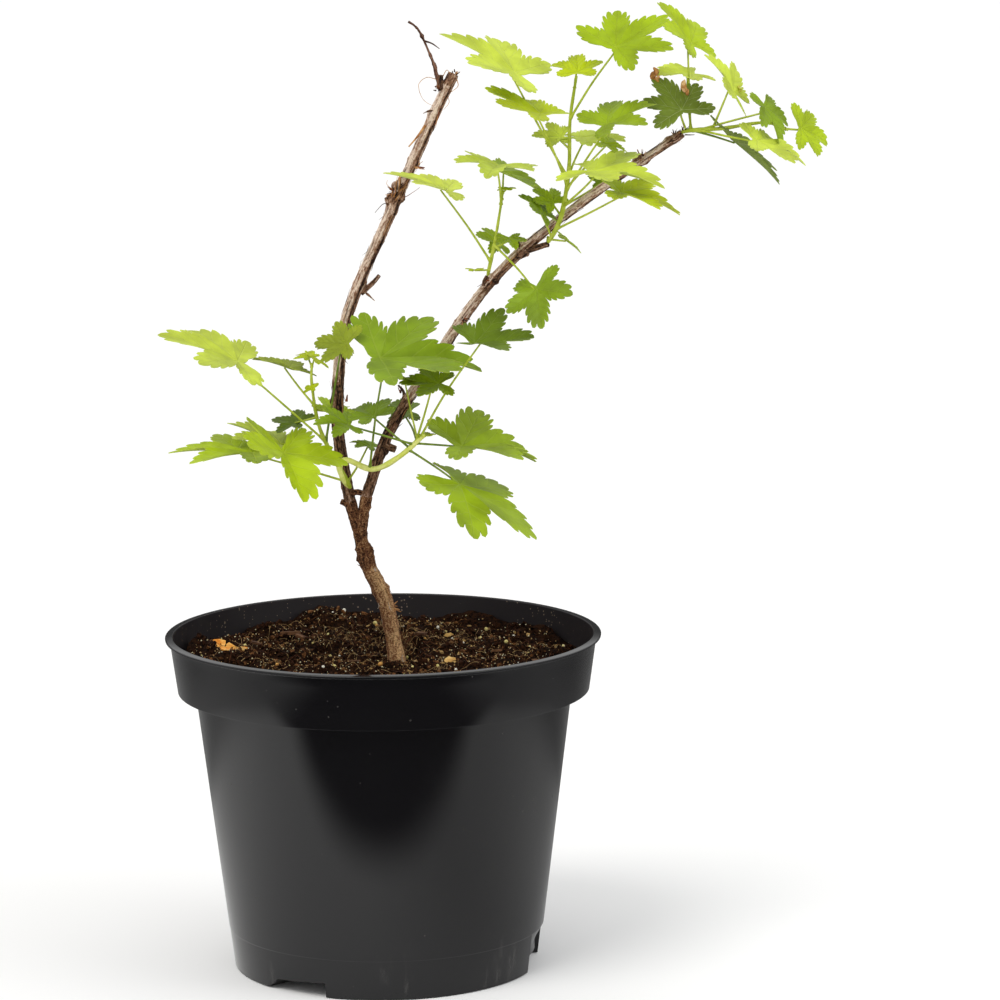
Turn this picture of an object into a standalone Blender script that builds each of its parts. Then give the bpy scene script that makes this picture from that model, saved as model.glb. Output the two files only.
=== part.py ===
"""Potted gooseberry: a leaning trunk that forks into two boughs, five leafy sprays and a round nursery pot.

Metres, +Z up. The origin is the centre of the pot's flat underside, and the front is towards -Y.
"""

import math
import random

import bmesh
import bpy
from mathutils import Matrix, Vector
from mathutils.bvhtree import BVHTree

MM = 0.001
SEED = 7
GAP = 0.3
CLEARANCE = 0.5
SHARP_ANGLE = 40
MERGE_DISTANCE = 1e-6

# Pot, in millimetres
POT_HEIGHT = 131.4
BASE_RADIUS = 60.0
BODY_TOP_RADIUS = 73.7
BAND_FOOT = 109.5
BAND_FOOT_RADIUS = 80.5
BAND_TOP = 126.0
BAND_TOP_RADIUS = 82.8
LIP_RADIUS = 85.2
LIP_HEIGHT = 1.4
WALL = 1.3
FLOOR = 1.4
EDGE_ROUND = 0.5
SEAM_HEIGHT = 15.5
SEAM_STEP = 0.3
NOTCH_ANGLES = (-36,)
RECESS_ANGLES = (82, 204)
NOTCH_HALF_WIDTH = 14.5
NOTCH_HEIGHT = 5.0
NOTCH_INNER_RADIUS = 43.0
RECESS_DEPTH = 2.7
RECESS_SHOULDER = 9.5
RECESS_REACH = 12.0
RECESS_STEPS = 6
POT_STEPS = 56

# Soil
SOIL_TOP = 119.7
SOIL_HEAP = 2.6
SOIL_RINGS = 7
SOIL_STEPS = 36
FOOT_CLEARING = 17.0

# Limbs
LIMB_STEPS = 4
LIMB_UNEVENNESS = 0.06
FLARE = 3.0
FLARE_SHARE = 0.3

# Each limb: the points of its route, its first and last radius and its number of sides
TRUNK = {
    "route": ((5, 5, 108), (5, 5, 119), (1, 4, 142), (-5, 3, 156), (-8, 3, 166), (-9, 3, 174)),
    "radii": (3.3, 2.5),
    "sides": 10,
}
LEFT_ARM = {"route": ((-8, 3, 169), (-10.5, 3, 176), (-12.5, 3, 183)), "radii": (2.7, 2.4), "sides": 8}
RIGHT_ARM = {"route": ((-9, 3, 169), (-7.5, 2, 177), (-6, 2, 185)), "radii": (2.5, 2.2), "sides": 8}
LEFT_BOUGH = {
    "route": ((-12.6, 3, 183.5), (-17, 6, 214), (-13.5, 12, 252), (2, 19, 289), (18, 26, 324), (29, 30, 347)),
    "radii": (2.3, 2.1),
    "sides": 8,
}
RIGHT_BOUGH = {
    "route": (
        (-5.9, 2, 185.5), (3.5, 0, 211), (22.5, -5, 241), (42.5, -10, 269), (63, -15, 289), (88, -19, 308),
        (116, -22, 327),
    ),
    "radii": (2.2, 1.6),
    "sides": 8,
}
BARE_TWIG = {
    "route": ((23.9, 28.5, 344), (21.5, 27, 352), (18, 25, 360), (12, 24, 368)),
    "radii": (1.1, 0.5),
    "sides": 6,
}
BARE_TWIG_THORN = {"route": ((18.5, 25, 359), (21, 25, 360), (23, 24, 358)), "radii": (0.6, 0.4), "sides": 5}

# Dead stubs fused to the boughs
LEFT_STUBS = (
    {"route": ((-7, 15, 267), (-4, 14, 270), (-1, 13, 270)), "radii": (1.3, 0.6), "sides": 6},
    {"route": ((-8, 15, 265), (-4, 13, 262), (-2, 12, 258)), "radii": (0.9, 0.4), "sides": 5},
    {"route": ((7, 22, 300), (5, 20, 300), (3, 19, 297)), "radii": (1.9, 0.8), "sides": 6},
)
RIGHT_STUBS = (
    {"route": ((1, 0, 206), (5, -1, 204), (8, -2, 206)), "radii": (1.8, 0.8), "sides": 6},
    {"route": ((9, -1, 220), (9, -1, 226), (7, -2, 229)), "radii": (0.9, 0.5), "sides": 5},
    {"route": ((41, -10, 267), (41, -11, 270), (42, -11, 272)), "radii": (1.4, 1.1), "sides": 6},
    {"route": ((56, -13, 281), (54, -14, 284), (54, -14, 286)), "radii": (1.3, 0.6), "sides": 6},
    {"route": ((57, -13, 282), (62, -17, 284), (65, -19, 285)), "radii": (1.3, 1.1), "sides": 6},
)

# Leaf blade: angle of each lobe from the middle one, and its length as a share of the middle lobe's
LOBES = ((-115, 0.65), (-54, 0.85), (0, 1.0), (54, 0.85), (115, 0.65))
SHOULDER_ANGLE = 17
SHOULDER_SHARE = 0.82
SINUS_SHARE = 0.52
BASE_NOTCH_SHARE = 0.08
BLADE_THICKNESS = 0.5
BLADE_UNEVENNESS = 0.06
BLADE_DROOP = (0.0, 0.1)
STALK_RADII = (0.6, 0.4)
STALK_SIDES = 3
STALK_BOW = 0.03
STALK_STEPS = 2
STALK_OVERLAP = 2.0
STALK_OVERLAP_SHARE = 0.15
STEM_SIDES = 6
STEM_STEPS = 4

# Each spray: its stem, the space it keeps to, and a row for each leaf: the stem station its stalk leaves
# from, the stalk's reach in x, y and z, then the blade's length, heading, pitch, roll, fold and spread
LOWER_LEFT_SPRAY = {
    "stem": ((-13.2, -0.4, 191), (-23, -7, 212), (-26, -10, 230), (-26, -10, 239)),
    "radii": (1.5, 0.5),
    "space": ((-100, -75, 170), (30, 45, 262)),
    "leaves": (
        (0.38, (-33, -6, 32), 32, -165, 25, -15, 0.1, 0.9),
        (0.67, (-10, 5, 14), 16, 150, 15, 10, 0.15, 1.2),
        (0.94, (0, 1, 5), 8, 0, -30, 0, 0.1, 1.1),
        (0.97, (-1, 6, 3), 7, 140, 10, -10, 0.1, 1.0),
        (0.71, (-1, -4, 5), 5, 65, 35, -15, 0.1, 1.0),
        (0.37, (9, -13, 40), 14, 160, 0, -45, 0.1, 1.0),
        (0.0, (-36, -15, 14), 33, 175, 5, 0, 0.0, 0.9),
        (0.21, (-19, -21, 6), 28, -65, -25, -15, 0.35, 1.2),
        (0.31, (-19, 6, 1), 24, 160, 20, 0, 0.1, 0.9),
        (0.58, (-8, 14, -4), 12, 150, 0, -20, 0.1, 1.1),
        (0.64, (6, 26, -5), 13, 70, 15, 20, 0.1, 0.9),
        (0.0, (9, 12, 12), 9, 160, 20, 0, 0.1, 1.0),
    ),
}
LOWER_RIGHT_SPRAY = {
    "stem": ((-13, -3, 200), (-3, -7, 197), (7, -9, 202), (17, -12, 211)),
    "radii": (1.6, 1.1),
    "space": ((-40, -75, 160), (70, 30, 262)),
    "leaves": (
        (0.27, (5, -16, 45), 40, 15, 0, 20, 0.2, 0.8),
        (0.87, (9, -8, 24), 15, 180, 5, -25, 0.15, 1.1),
        (0.90, (-4, -4, 24), 8, -120, 20, -5, 0.1, 1.0),
        (0.92, (22, -14, 39), 23, 5, 0, 15, 0.3, 1.0),
        (0.86, (18, -3, -1), 31, 20, 0, 15, 0.3, 1.0),
        (0.76, (20, -13, -12), 36, -10, -28, 8, -0.1, 1.1),
        (0.84, (-25, -7, 9), 14, -155, 15, -25, 0.15, 0.9),
        (0.78, (-14, -3, 13), 14, 120, 15, -20, 0.15, 1.1),
        (0.89, (-4, 26, 8), 14, 180, 0, -20, 0.1, 1.0),
        (0.98, (1, 0, 0), 5, 80, 5, 0, 0.1, 1.0),
    ),
}
MIDDLE_SPRAY = {
    "stem": ((42.2, -11, 273.6), (45, -15.5, 287), (48, -17, 305)),
    "radii": (1.2, 0.5),
    "space": ((0, -60, 245), (80, 25, 322)),
    "leaves": (
        (0.85, (-1, -5, 15), 23, -100, 0, -10, 0.15, 0.9),
        (0.91, (-1, 7, 10), 22, 15, -20, 10, 0.1, 1.1),
        (0.14, (-17, 3, 27), 24, -175, 20, -5, 0.15, 0.9),
        (0.33, (2, 17, 0), 11, -155, 20, -35, 0.1, 1.0),
        (0.32, (6, -3, 4), 8, -70, -20, 0, 0.1, 1.0),
        (0.36, (16, -19, -15), 18, -85, -45, 30, 0.05, 1.1),
        (0.03, (-5, -9, 1), 5, 105, 0, 0, 0.1, 1.0),
        (0.99, (1, 1, 1), 5, 75, 10, 0, 0.1, 1.0),
    ),
}
UPPER_SPRAY = {
    "stem": ((65.4, -19.5, 286.4), (70, -22, 296), (73, -23, 314), (73.5, -23, 332), (76, -23, 349)),
    "radii": (1.4, 0.5),
    "space": ((20, -90, 268), (125, 25, 376)),
    "leaves": (
        (0.40, (-20, -3, 40), 31, 175, 30, -15, 0.15, 1.0),
        (0.36, (-10, -17, 28), 24, 160, 20, -5, 0.05, 0.9),
        (0.93, (1, -3, 6), 13, 90, 30, 0, 0.2, 1.0),
        (0.75, (17, -7, 27), 25, 30, 25, 25, 0.1, 0.9),
        (0.32, (15, -11, 26), 21, 15, 25, 15, 0.2, 1.0),
        (0.57, (-3, 11, 4), 11, 180, 0, -30, 0.15, 1.0),
        (0.40, (5, 15, 14), 18, -10, 0, 5, 0.1, 1.2),
        (0.34, (14, -1, 17), 10, 10, -15, 20, 0.1, 1.0),
        (0.23, (11, -22, 15), 26, -15, 0, 10, 0.1, 1.1),
        (0.08, (24, -23, 16), 24, 5, -10, 10, 0.1, 0.9),
        (0.23, (16, 16, 7), 9, 100, 50, 5, 0.1, 1.0),
        (0.03, (-3, -4, 9), 12, 165, 45, -5, 0.1, 1.1),
        (0.01, (5, -7, 1), 9, -20, -35, -20, 0.1, 1.0),
        (0.17, (-3, 3, 5), 10, 150, 35, -25, 0.1, 1.0),
    ),
}
TIP_SPRAY = {
    "stem": ((117.5, -22.6, 328), (131, -25, 329), (147, -24, 331), (156, -22, 328)),
    "radii": (1.3, 0.5),
    "space": ((90, -80, 296), (180, 25, 378)),
    "leaves": (
        (0.0, (-2, -3, 8), 20, 125, 40, -15, 0.0, 0.9),
        (0.04, (1, 18, 32), 21, 145, 50, 5, 0.1, 1.3),
        (0.05, (1, 21, 20), 17, -145, 5, -15, 0.1, 1.0),
        (0.25, (8, 3, 14), 17, -165, 60, -30, 0.15, 1.2),
        (0.11, (25, -6, 9), 16, -35, -55, -5, 0.1, 1.0),
        (0.97, (6, 2, 0), 16, 35, -20, 55, 0.1, 0.9),
        (0.12, (21, -16, -3), 21, 15, -15, 20, 0.05, 0.9),
        (0.06, (15, 8, -4), 27, -30, -35, -20, 0.1, 0.9),
    ),
}


def clear_scene():
    for obj in list(bpy.data.objects):
        bpy.data.objects.remove(obj, do_unlink=True)


def make_material(name, colour, roughness, metallic=0.0):
    material = bpy.data.materials.new(name)
    material.use_nodes = True
    shader = material.node_tree.nodes["Principled BSDF"]
    shader.inputs["Base Color"].default_value = (*colour, 1.0)
    shader.inputs["Roughness"].default_value = roughness
    shader.inputs["Metallic"].default_value = metallic
    return material


def make_object(name, bm, material=None):
    mesh = bpy.data.meshes.new(name)
    bm.to_mesh(mesh)
    bm.free()
    mesh.shade_smooth()
    mesh.set_sharp_from_angle(angle=math.radians(SHARP_ANGLE))
    if material:
        mesh.materials.append(material)
    obj = bpy.data.objects.new(name, mesh)
    bpy.context.scene.collection.objects.link(obj)
    return obj


def apply_boolean(obj, operation, pieces, solver="EXACT"):
    """Join or cut an object with a collection of closed pieces, and remove the pieces."""
    collection = bpy.data.collections.new(obj.name + "_pieces")
    bpy.context.scene.collection.children.link(collection)
    for piece in pieces:
        bpy.context.scene.collection.objects.unlink(piece)
        collection.objects.link(piece)
        piece.hide_render = True
        piece.display_type = "WIRE"
    modifier = obj.modifiers.new(operation.title(), "BOOLEAN")
    modifier.operation = operation
    modifier.operand_type = "COLLECTION"
    modifier.collection = collection
    modifier.solver = solver
    evaluated = obj.evaluated_get(bpy.context.evaluated_depsgraph_get())
    mesh = bpy.data.meshes.new_from_object(evaluated)
    obj.modifiers.clear()
    obj.data = mesh
    for piece in pieces:
        bpy.data.objects.remove(piece, do_unlink=True)
    bpy.data.collections.remove(collection)
    return obj


def revolve(profile, steps, start=0.0, sweep=math.tau):
    """Turn a profile of radius and height points, in millimetres, about the Z axis."""
    bm = bmesh.new()
    verts = [bm.verts.new((radius * MM, 0, height * MM)) for radius, height in profile]
    full = sweep >= math.tau
    geometry = [*verts]
    if full:
        geometry += [bm.edges.new(pair) for pair in zip(verts, verts[1:])]
    else:
        section = bm.faces.new(verts)
        geometry += [*section.edges, section]
    bmesh.ops.rotate(bm, verts=verts, matrix=Matrix.Rotation(start, 3, "Z"))
    bmesh.ops.spin(
        bm, geom=geometry, axis=(0, 0, 1), angle=sweep, steps=steps, use_merge=full, use_duplicate=False
    )
    bmesh.ops.remove_doubles(bm, verts=bm.verts, dist=MERGE_DISTANCE)
    bmesh.ops.recalc_face_normals(bm, faces=bm.faces)
    return bm


def body_radius(height):
    return BASE_RADIUS + (BODY_TOP_RADIUS - BASE_RADIUS) * height / BAND_FOOT


def outer_profile():
    """The pot's outside from the middle of its underside to the middle of its mouth."""
    lip_foot = POT_HEIGHT - LIP_HEIGHT
    seam_radius = body_radius(SEAM_HEIGHT)
    return (
        (0, 0),
        (BASE_RADIUS - EDGE_ROUND, 0),
        (BASE_RADIUS, EDGE_ROUND),
        (seam_radius, SEAM_HEIGHT),
        (seam_radius + SEAM_STEP, SEAM_HEIGHT + SEAM_STEP),
        (BODY_TOP_RADIUS, BAND_FOOT - EDGE_ROUND),
        (BAND_FOOT_RADIUS - EDGE_ROUND, BAND_FOOT),
        (BAND_FOOT_RADIUS, BAND_FOOT + EDGE_ROUND),
        (BAND_TOP_RADIUS, BAND_TOP),
        (LIP_RADIUS - EDGE_ROUND, lip_foot),
        (LIP_RADIUS, lip_foot + EDGE_ROUND),
        (LIP_RADIUS, POT_HEIGHT - EDGE_ROUND),
        (LIP_RADIUS - EDGE_ROUND, POT_HEIGHT),
        (0, POT_HEIGHT),
    )


def hollow_profile(offset, top):
    """The pot's inside drawn in by an offset, up to a top height."""
    wall = WALL + offset
    slope = (BAND_TOP_RADIUS - BAND_FOOT_RADIUS) / (BAND_TOP - BAND_FOOT)
    profile = [
        (0, FLOOR + offset),
        (BASE_RADIUS - wall, FLOOR + offset),
        (BODY_TOP_RADIUS - wall, BAND_FOOT + WALL - EDGE_ROUND),
        (BAND_FOOT_RADIUS - wall, BAND_FOOT + WALL + offset),
    ]
    if top > BAND_TOP:
        profile.append((BAND_TOP_RADIUS - wall, BAND_TOP))
        profile.append((LIP_RADIUS - LIP_HEIGHT - offset, top))
    else:
        profile.append((BAND_FOOT_RADIUS - wall + slope * (top - BAND_FOOT), top))
    profile.append((0, top))
    return profile


def notch_profile(offset):
    """A plain drain notch through the foot of the wall and under the floor, as a section to be turned."""
    inner, outside, top = NOTCH_INNER_RADIUS - offset, BASE_RADIUS + RECESS_REACH, NOTCH_HEIGHT + offset
    return ((inner, -1), (outside, -1), (outside, top), (inner, top))


def recess_profile(offset):
    """A drain notch with a dent in the wall above it, up to the seam, as a section to be turned."""
    shoulder_radius = body_radius(RECESS_SHOULDER) - RECESS_DEPTH - offset
    outside = BASE_RADIUS + RECESS_REACH
    return (
        (NOTCH_INNER_RADIUS - offset, -1),
        (outside, -1),
        (outside, SEAM_HEIGHT + offset),
        (body_radius(SEAM_HEIGHT) - offset * 0.5, SEAM_HEIGHT + offset),
        (shoulder_radius, RECESS_SHOULDER + offset),
        (shoulder_radius, NOTCH_HEIGHT + offset),
        (NOTCH_INNER_RADIUS - offset, NOTCH_HEIGHT + offset),
    )


def make_recesses(offset):
    pieces = []
    half_width = math.radians(NOTCH_HALF_WIDTH) + offset / BASE_RADIUS
    for angles, profile in ((NOTCH_ANGLES, notch_profile(offset)), (RECESS_ANGLES, recess_profile(offset))):
        for angle in angles:
            start = math.radians(angle - 90) - half_width
            pieces.append(make_object("recess", revolve(profile, RECESS_STEPS, start, 2 * half_width)))
    return pieces


def make_pot(material):
    pot = make_object("pot", revolve(outer_profile(), POT_STEPS), material)
    hollow = make_object("hollow", revolve(hollow_profile(0, POT_HEIGHT + 1), POT_STEPS))
    apply_boolean(hollow, "DIFFERENCE", make_recesses(WALL))
    apply_boolean(pot, "DIFFERENCE", [hollow])
    return apply_boolean(pot, "DIFFERENCE", make_recesses(0))


def soil_height(x, y):
    """Height of the heaped soil: level in the clearing about the trunk's foot and at the wall."""
    heap = math.sin(x * 0.11 + 1.0) * math.cos(y * 0.13) + 0.6 * math.sin((x + y) * 0.19)
    foot_x, foot_y, _ = TRUNK["route"][1]
    clearing = math.hypot(x - foot_x, y - foot_y) / FOOT_CLEARING
    return SOIL_TOP + SOIL_HEAP * max(0.0, heap) * min(1.0, max(0.0, clearing - 1.0))


def make_soil(material):
    """The filling: the pot's inside less its recesses, its flat top remade as shrinking heaped rings."""
    flat = make_object("soil", revolve(hollow_profile(GAP, SOIL_TOP), SOIL_STEPS))
    apply_boolean(flat, "DIFFERENCE", make_recesses(WALL + GAP))
    bm = bmesh.new()
    bm.from_mesh(flat.data)
    bpy.data.objects.remove(flat, do_unlink=True)
    top = [face for face in bm.faces if face.calc_center_median().z > (SOIL_TOP - 0.05) * MM]
    bmesh.ops.delete(bm, geom=top, context="FACES")
    rim = [edge for edge in bm.edges if edge.is_boundary]
    rim_radius = max(vert.co.to_2d().length for edge in rim for vert in edge.verts)
    for ring in range(1, SOIL_RINGS):
        made = bmesh.ops.extrude_edge_only(bm, edges=rim)["geom"]
        rim = [item for item in made if isinstance(item, bmesh.types.BMEdge)]
        radius = rim_radius * (1 - ring / SOIL_RINGS)
        for vert in {vert for edge in rim for vert in edge.verts}:
            place = vert.co.to_2d().normalized() * radius
            vert.co = (place.x, place.y, soil_height(place.x / MM, place.y / MM) * MM)
    bmesh.ops.contextual_create(bm, geom=rim)
    bmesh.ops.triangulate(bm, faces=bm.faces)
    bmesh.ops.recalc_face_normals(bm, faces=bm.faces)
    return make_object("soil", bm, material)


def smooth_route(points, steps):
    """Points along a smooth curve through the given points."""
    points = [Vector(point) for point in points]
    padded = [points[0] * 2 - points[1], *points, points[-1] * 2 - points[-2]]
    route = []
    for before, start, end, after in zip(padded, padded[1:], padded[2:], padded[3:]):
        for step in range(steps):
            t = step / steps
            rise = (end - before) * t
            bend = (2 * before - 5 * start + 4 * end - after) * t ** 2
            twist = (3 * start - before - 3 * end + after) * t ** 3
            route.append(start + (rise + bend + twist) / 2)
    route.append(points[-1])
    return route


def station(route, share):
    """The point at a share of a route's length."""
    lengths = [(end - start).length for start, end in zip(route, route[1:])]
    left = share * sum(lengths)
    for start, end, length in zip(route, route[1:], lengths):
        if left <= length:
            return start.lerp(end, left / length)
        left -= length
    return route[-1].copy()


def make_tube(route, radii, sides):
    """A closed tube along a route in millimetres, with a radius worked out from the share of its points."""
    bm = bmesh.new()
    rings = []
    last = len(route) - 1
    across = Vector((0, 1, 0))
    for index, point in enumerate(route):
        along = (route[min(index + 1, last)] - route[max(index - 1, 0)]).normalized()
        across = (across - along * across.dot(along)).normalized()
        matrix = Matrix((across, along.cross(across), along)).transposed().to_4x4()
        matrix.translation = point * MM
        circle = bmesh.ops.create_circle(
            bm, cap_ends=index in (0, last), segments=sides, radius=radii(index / last) * MM, matrix=matrix
        )
        rings.append({edge for vert in circle["verts"] for edge in vert.link_edges})
    for ring, following in zip(rings, rings[1:]):
        bmesh.ops.bridge_loops(bm, edges=[*ring, *following])
    bmesh.ops.triangulate(bm, faces=bm.faces)
    bmesh.ops.recalc_face_normals(bm, faces=bm.faces)
    return bm


def taper(first, last):
    """A radius that changes evenly along a tube."""

    def radius(share):
        return first + (last - first) * share

    return radius


def rough_taper(first, last, rng):
    """A tapering radius with a seeded unevenness."""
    even = taper(first, last)
    waves = [(rng.uniform(5, 17), rng.uniform(0, math.tau)) for _ in range(3)]

    def radius(share):
        uneven = sum(math.sin(rate * share + phase) for rate, phase in waves) / len(waves)
        return even(share) * (1 + LIMB_UNEVENNESS * uneven)

    return radius


def make_limb(name, limb, material=None):
    rng = random.Random(f"{SEED} {name}")
    route = smooth_route(limb["route"], LIMB_STEPS)
    return make_object(name, make_tube(route, rough_taper(*limb["radii"], rng), limb["sides"]), material)


def make_trunk(material):
    """The trunk with its root flare, cut flat at the soil, and its two arms at the fork."""
    even = taper(*TRUNK["radii"])

    def flared(share):
        return even(share) + FLARE * max(0.0, 1 - share / FLARE_SHARE) ** 2

    bm = make_tube(smooth_route(TRUNK["route"], LIMB_STEPS), flared, TRUNK["sides"])
    ground = (0, 0, (SOIL_TOP + GAP) * MM)
    cut = bmesh.ops.bisect_plane(
        bm, geom=[*bm.verts, *bm.edges, *bm.faces], plane_co=ground, plane_no=(0, 0, 1), clear_inner=True
    )
    rim = [item for item in cut["geom_cut"] if isinstance(item, bmesh.types.BMEdge)]
    bmesh.ops.contextual_create(bm, geom=rim)
    bmesh.ops.triangulate(bm, faces=bm.faces)
    bmesh.ops.recalc_face_normals(bm, faces=bm.faces)
    trunk = make_object("trunk", bm, material)
    return apply_boolean(trunk, "UNION", [make_limb("arm", arm) for arm in (LEFT_ARM, RIGHT_ARM)])


def make_bough(name, limb, stubs, material):
    bough = make_limb(name, limb, material)
    return apply_boolean(bough, "UNION", [make_limb("stub", stub) for stub in stubs])


def blade_outline(spread):
    """Angle and share of the length for each point around a blade, from its base notch."""
    outline = []
    for index, (angle, share) in enumerate(LOBES):
        outline.append(((angle - SHOULDER_ANGLE) * spread, share * SHOULDER_SHARE))
        outline.append((angle * spread, share))
        outline.append(((angle + SHOULDER_ANGLE) * spread, share * SHOULDER_SHARE))
        if index < len(LOBES) - 1:
            next_angle, next_share = LOBES[index + 1]
            outline.append(((angle + next_angle) / 2 * spread, (share + next_share) / 2 * SINUS_SHARE))
    outline.append((180, BASE_NOTCH_SHARE))
    return outline


def blade_frame(heading, pitch, roll):
    """The blade's own directions: along its middle lobe, to its left and out of its upper side."""
    turn = Matrix.Rotation(math.radians(heading), 3, "Z") @ Matrix.Rotation(math.radians(-pitch), 3, "Y")
    turn = turn @ Matrix.Rotation(math.radians(roll), 3, "X")
    return turn.col[0].copy(), turn.col[1].copy(), turn.col[2].copy()


def turn_about(vert):
    return math.atan2(vert.co.y, vert.co.x)


def make_blade(base, length, frame, fold, spread, rng):
    """A lobed blade that spreads from its base, as a closed shell."""
    ahead, left, up = frame
    droop = rng.uniform(*BLADE_DROOP)
    outline = blade_outline(spread)
    bm = bmesh.new()
    fan = bmesh.ops.create_circle(bm, cap_ends=True, cap_tris=True, segments=len(outline), radius=1)
    middle = min(fan["verts"], key=lambda vert: vert.co.length)
    ring = sorted((vert for vert in fan["verts"] if vert is not middle), key=turn_about)
    middle.co = base * MM
    for vert, (angle, share) in zip(ring, outline):
        reach = length * share * rng.uniform(1 - BLADE_UNEVENNESS, 1 + BLADE_UNEVENNESS)
        along = reach * math.cos(math.radians(angle))
        across = reach * math.sin(math.radians(angle))
        lift = fold * abs(across) - droop * reach ** 2 / length
        vert.co = (base + ahead * along + left * across + up * lift) * MM
    bmesh.ops.recalc_face_normals(bm, faces=bm.faces)
    bmesh.ops.solidify(bm, geom=bm.faces, thickness=BLADE_THICKNESS * MM)
    bmesh.ops.triangulate(bm, faces=bm.faces)
    bmesh.ops.recalc_face_normals(bm, faces=bm.faces)
    return bm


def make_stalk(start, end, rng):
    """A leaf's stalk, with a slight seeded bow."""
    bow = (end - start).length * STALK_BOW
    middle = start.lerp(end, 0.5) + Vector((rng.uniform(-bow, bow), rng.uniform(-bow, bow), 0))
    return make_tube(smooth_route((start, middle, end), STALK_STEPS), taper(*STALK_RADII), STALK_SIDES)


def tree_of(obj):
    bm = bmesh.new()
    bm.from_mesh(obj.data)
    tree = BVHTree.FromBMesh(bm)
    bm.free()
    return tree


def fits(piece, space, neighbours):
    """Whether a piece stays in its spray's space and clear of everything made before."""
    low, high = space
    for vert in piece.data.vertices:
        if any(not low[axis] * MM <= vert.co[axis] <= high[axis] * MM for axis in range(3)):
            return False
        if any(tree.find_nearest(vert.co)[3] < CLEARANCE * MM for tree in neighbours):
            return False
    own = tree_of(piece)
    return not any(own.overlap(tree) for tree in neighbours)


def make_leaf(root, row, rng):
    """A leaf's stalk and blade; the stalk runs on under the blade, so that the two fuse."""
    reach, length, heading, pitch, roll, fold, spread = row
    base = root + Vector(reach)
    frame = blade_frame(heading, pitch, roll)
    tip = base + frame[0] * min(STALK_OVERLAP, length * STALK_OVERLAP_SHARE)
    stalk = make_object("stalk", make_stalk(root, tip, rng))
    blade = make_object("blade", make_blade(base, length, frame, fold, spread, rng))
    return [stalk, blade]


def make_spray(name, spray, neighbours, material):
    """One mass of leaves: a stem, and stalks with their blades fused to it."""
    route = smooth_route(spray["stem"], STEM_STEPS)
    stem = make_object(name, make_tube(route, taper(*spray["radii"]), STEM_SIDES), material)
    pieces = []
    for index, (place, *row) in enumerate(spray["leaves"]):
        leaf = make_leaf(station(route, place), row, random.Random(f"{SEED} {name} {index}"))
        if all(fits(piece, spray["space"], neighbours) for piece in leaf):
            pieces += leaf
        else:
            for piece in leaf:
                bpy.data.objects.remove(piece, do_unlink=True)
    return apply_boolean(stem, "UNION", pieces)


def build():
    clear_scene()
    plastic = make_material("black_plastic", (0.02, 0.02, 0.022), 0.3)
    peat = make_material("peat", (0.05, 0.032, 0.022), 0.95)
    bark = make_material("bark", (0.24, 0.15, 0.09), 0.85)
    dark_bark = make_material("dark_bark", (0.1, 0.06, 0.045), 0.9)
    leaf = make_material("leaf", (0.27, 0.42, 0.07), 0.5)

    make_pot(plastic)
    make_soil(peat)
    trunk = make_trunk(dark_bark)
    left_bough = make_bough("left_bough", LEFT_BOUGH, LEFT_STUBS, bark)
    right_bough = make_bough("right_bough", RIGHT_BOUGH, RIGHT_STUBS, bark)
    bare_twig = make_limb("bare_twig", BARE_TWIG, dark_bark)
    apply_boolean(bare_twig, "UNION", [make_limb("thorn", BARE_TWIG_THORN)])

    neighbours = [tree_of(limb) for limb in (trunk, left_bough, right_bough, bare_twig)]
    sprays = {
        "lower_left_spray": LOWER_LEFT_SPRAY,
        "lower_right_spray": LOWER_RIGHT_SPRAY,
        "middle_spray": MIDDLE_SPRAY,
        "upper_spray": UPPER_SPRAY,
        "tip_spray": TIP_SPRAY,
    }
    for name, spray in sprays.items():
        neighbours.append(tree_of(make_spray(name, spray, neighbours, leaf)))


build()
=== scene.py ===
import itertools
import math
import random

import bmesh
import bpy
import numpy
from mathutils import Matrix, Vector, noise


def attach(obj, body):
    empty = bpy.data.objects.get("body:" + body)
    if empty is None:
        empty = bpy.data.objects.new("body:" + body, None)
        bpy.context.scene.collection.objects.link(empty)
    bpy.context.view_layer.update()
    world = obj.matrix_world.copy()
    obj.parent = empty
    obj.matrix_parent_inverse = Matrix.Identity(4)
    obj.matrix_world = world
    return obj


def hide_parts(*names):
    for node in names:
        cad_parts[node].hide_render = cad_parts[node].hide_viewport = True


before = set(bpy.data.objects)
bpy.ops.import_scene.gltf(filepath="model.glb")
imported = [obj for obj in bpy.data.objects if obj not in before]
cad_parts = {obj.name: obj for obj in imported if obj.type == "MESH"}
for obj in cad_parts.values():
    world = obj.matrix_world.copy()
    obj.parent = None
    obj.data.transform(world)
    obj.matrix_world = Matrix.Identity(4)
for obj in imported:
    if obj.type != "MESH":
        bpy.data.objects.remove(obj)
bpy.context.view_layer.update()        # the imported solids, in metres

mm = 0.001
seed = 7        # the same seed as the solids, so that every stalk and blade falls where its solid is
scene = bpy.context.scene
print("frame loaded:", ", ".join(sorted(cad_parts)))


# shader helpers: each finds its node tree from the value that it is given

def join(value, socket):
    if isinstance(value, bpy.types.NodeSocket):
        socket.id_data.links.new(value, socket)
    else:
        socket.default_value = value


def addNode(tree, kind, inputs=None, **settings):
    made = tree.nodes.new(kind)
    for name, value in settings.items():
        setattr(made, name, value)
    for name, value in (inputs or {}).items():
        join(value, made.inputs[name])
    return made


def reckon(operation, *values, clamp=False):
    tree = next(value.id_data for value in values if isinstance(value, bpy.types.NodeSocket))
    made = addNode(tree, "ShaderNodeMath", dict(enumerate(values)), operation=operation, use_clamp=clamp)
    return made.outputs[0]


def plus(first, second, clamp=False):
    return reckon("ADD", first, second, clamp=clamp)


def minus(first, second):
    return reckon("SUBTRACT", first, second)


def times(first, second):
    return reckon("MULTIPLY", first, second)


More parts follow.
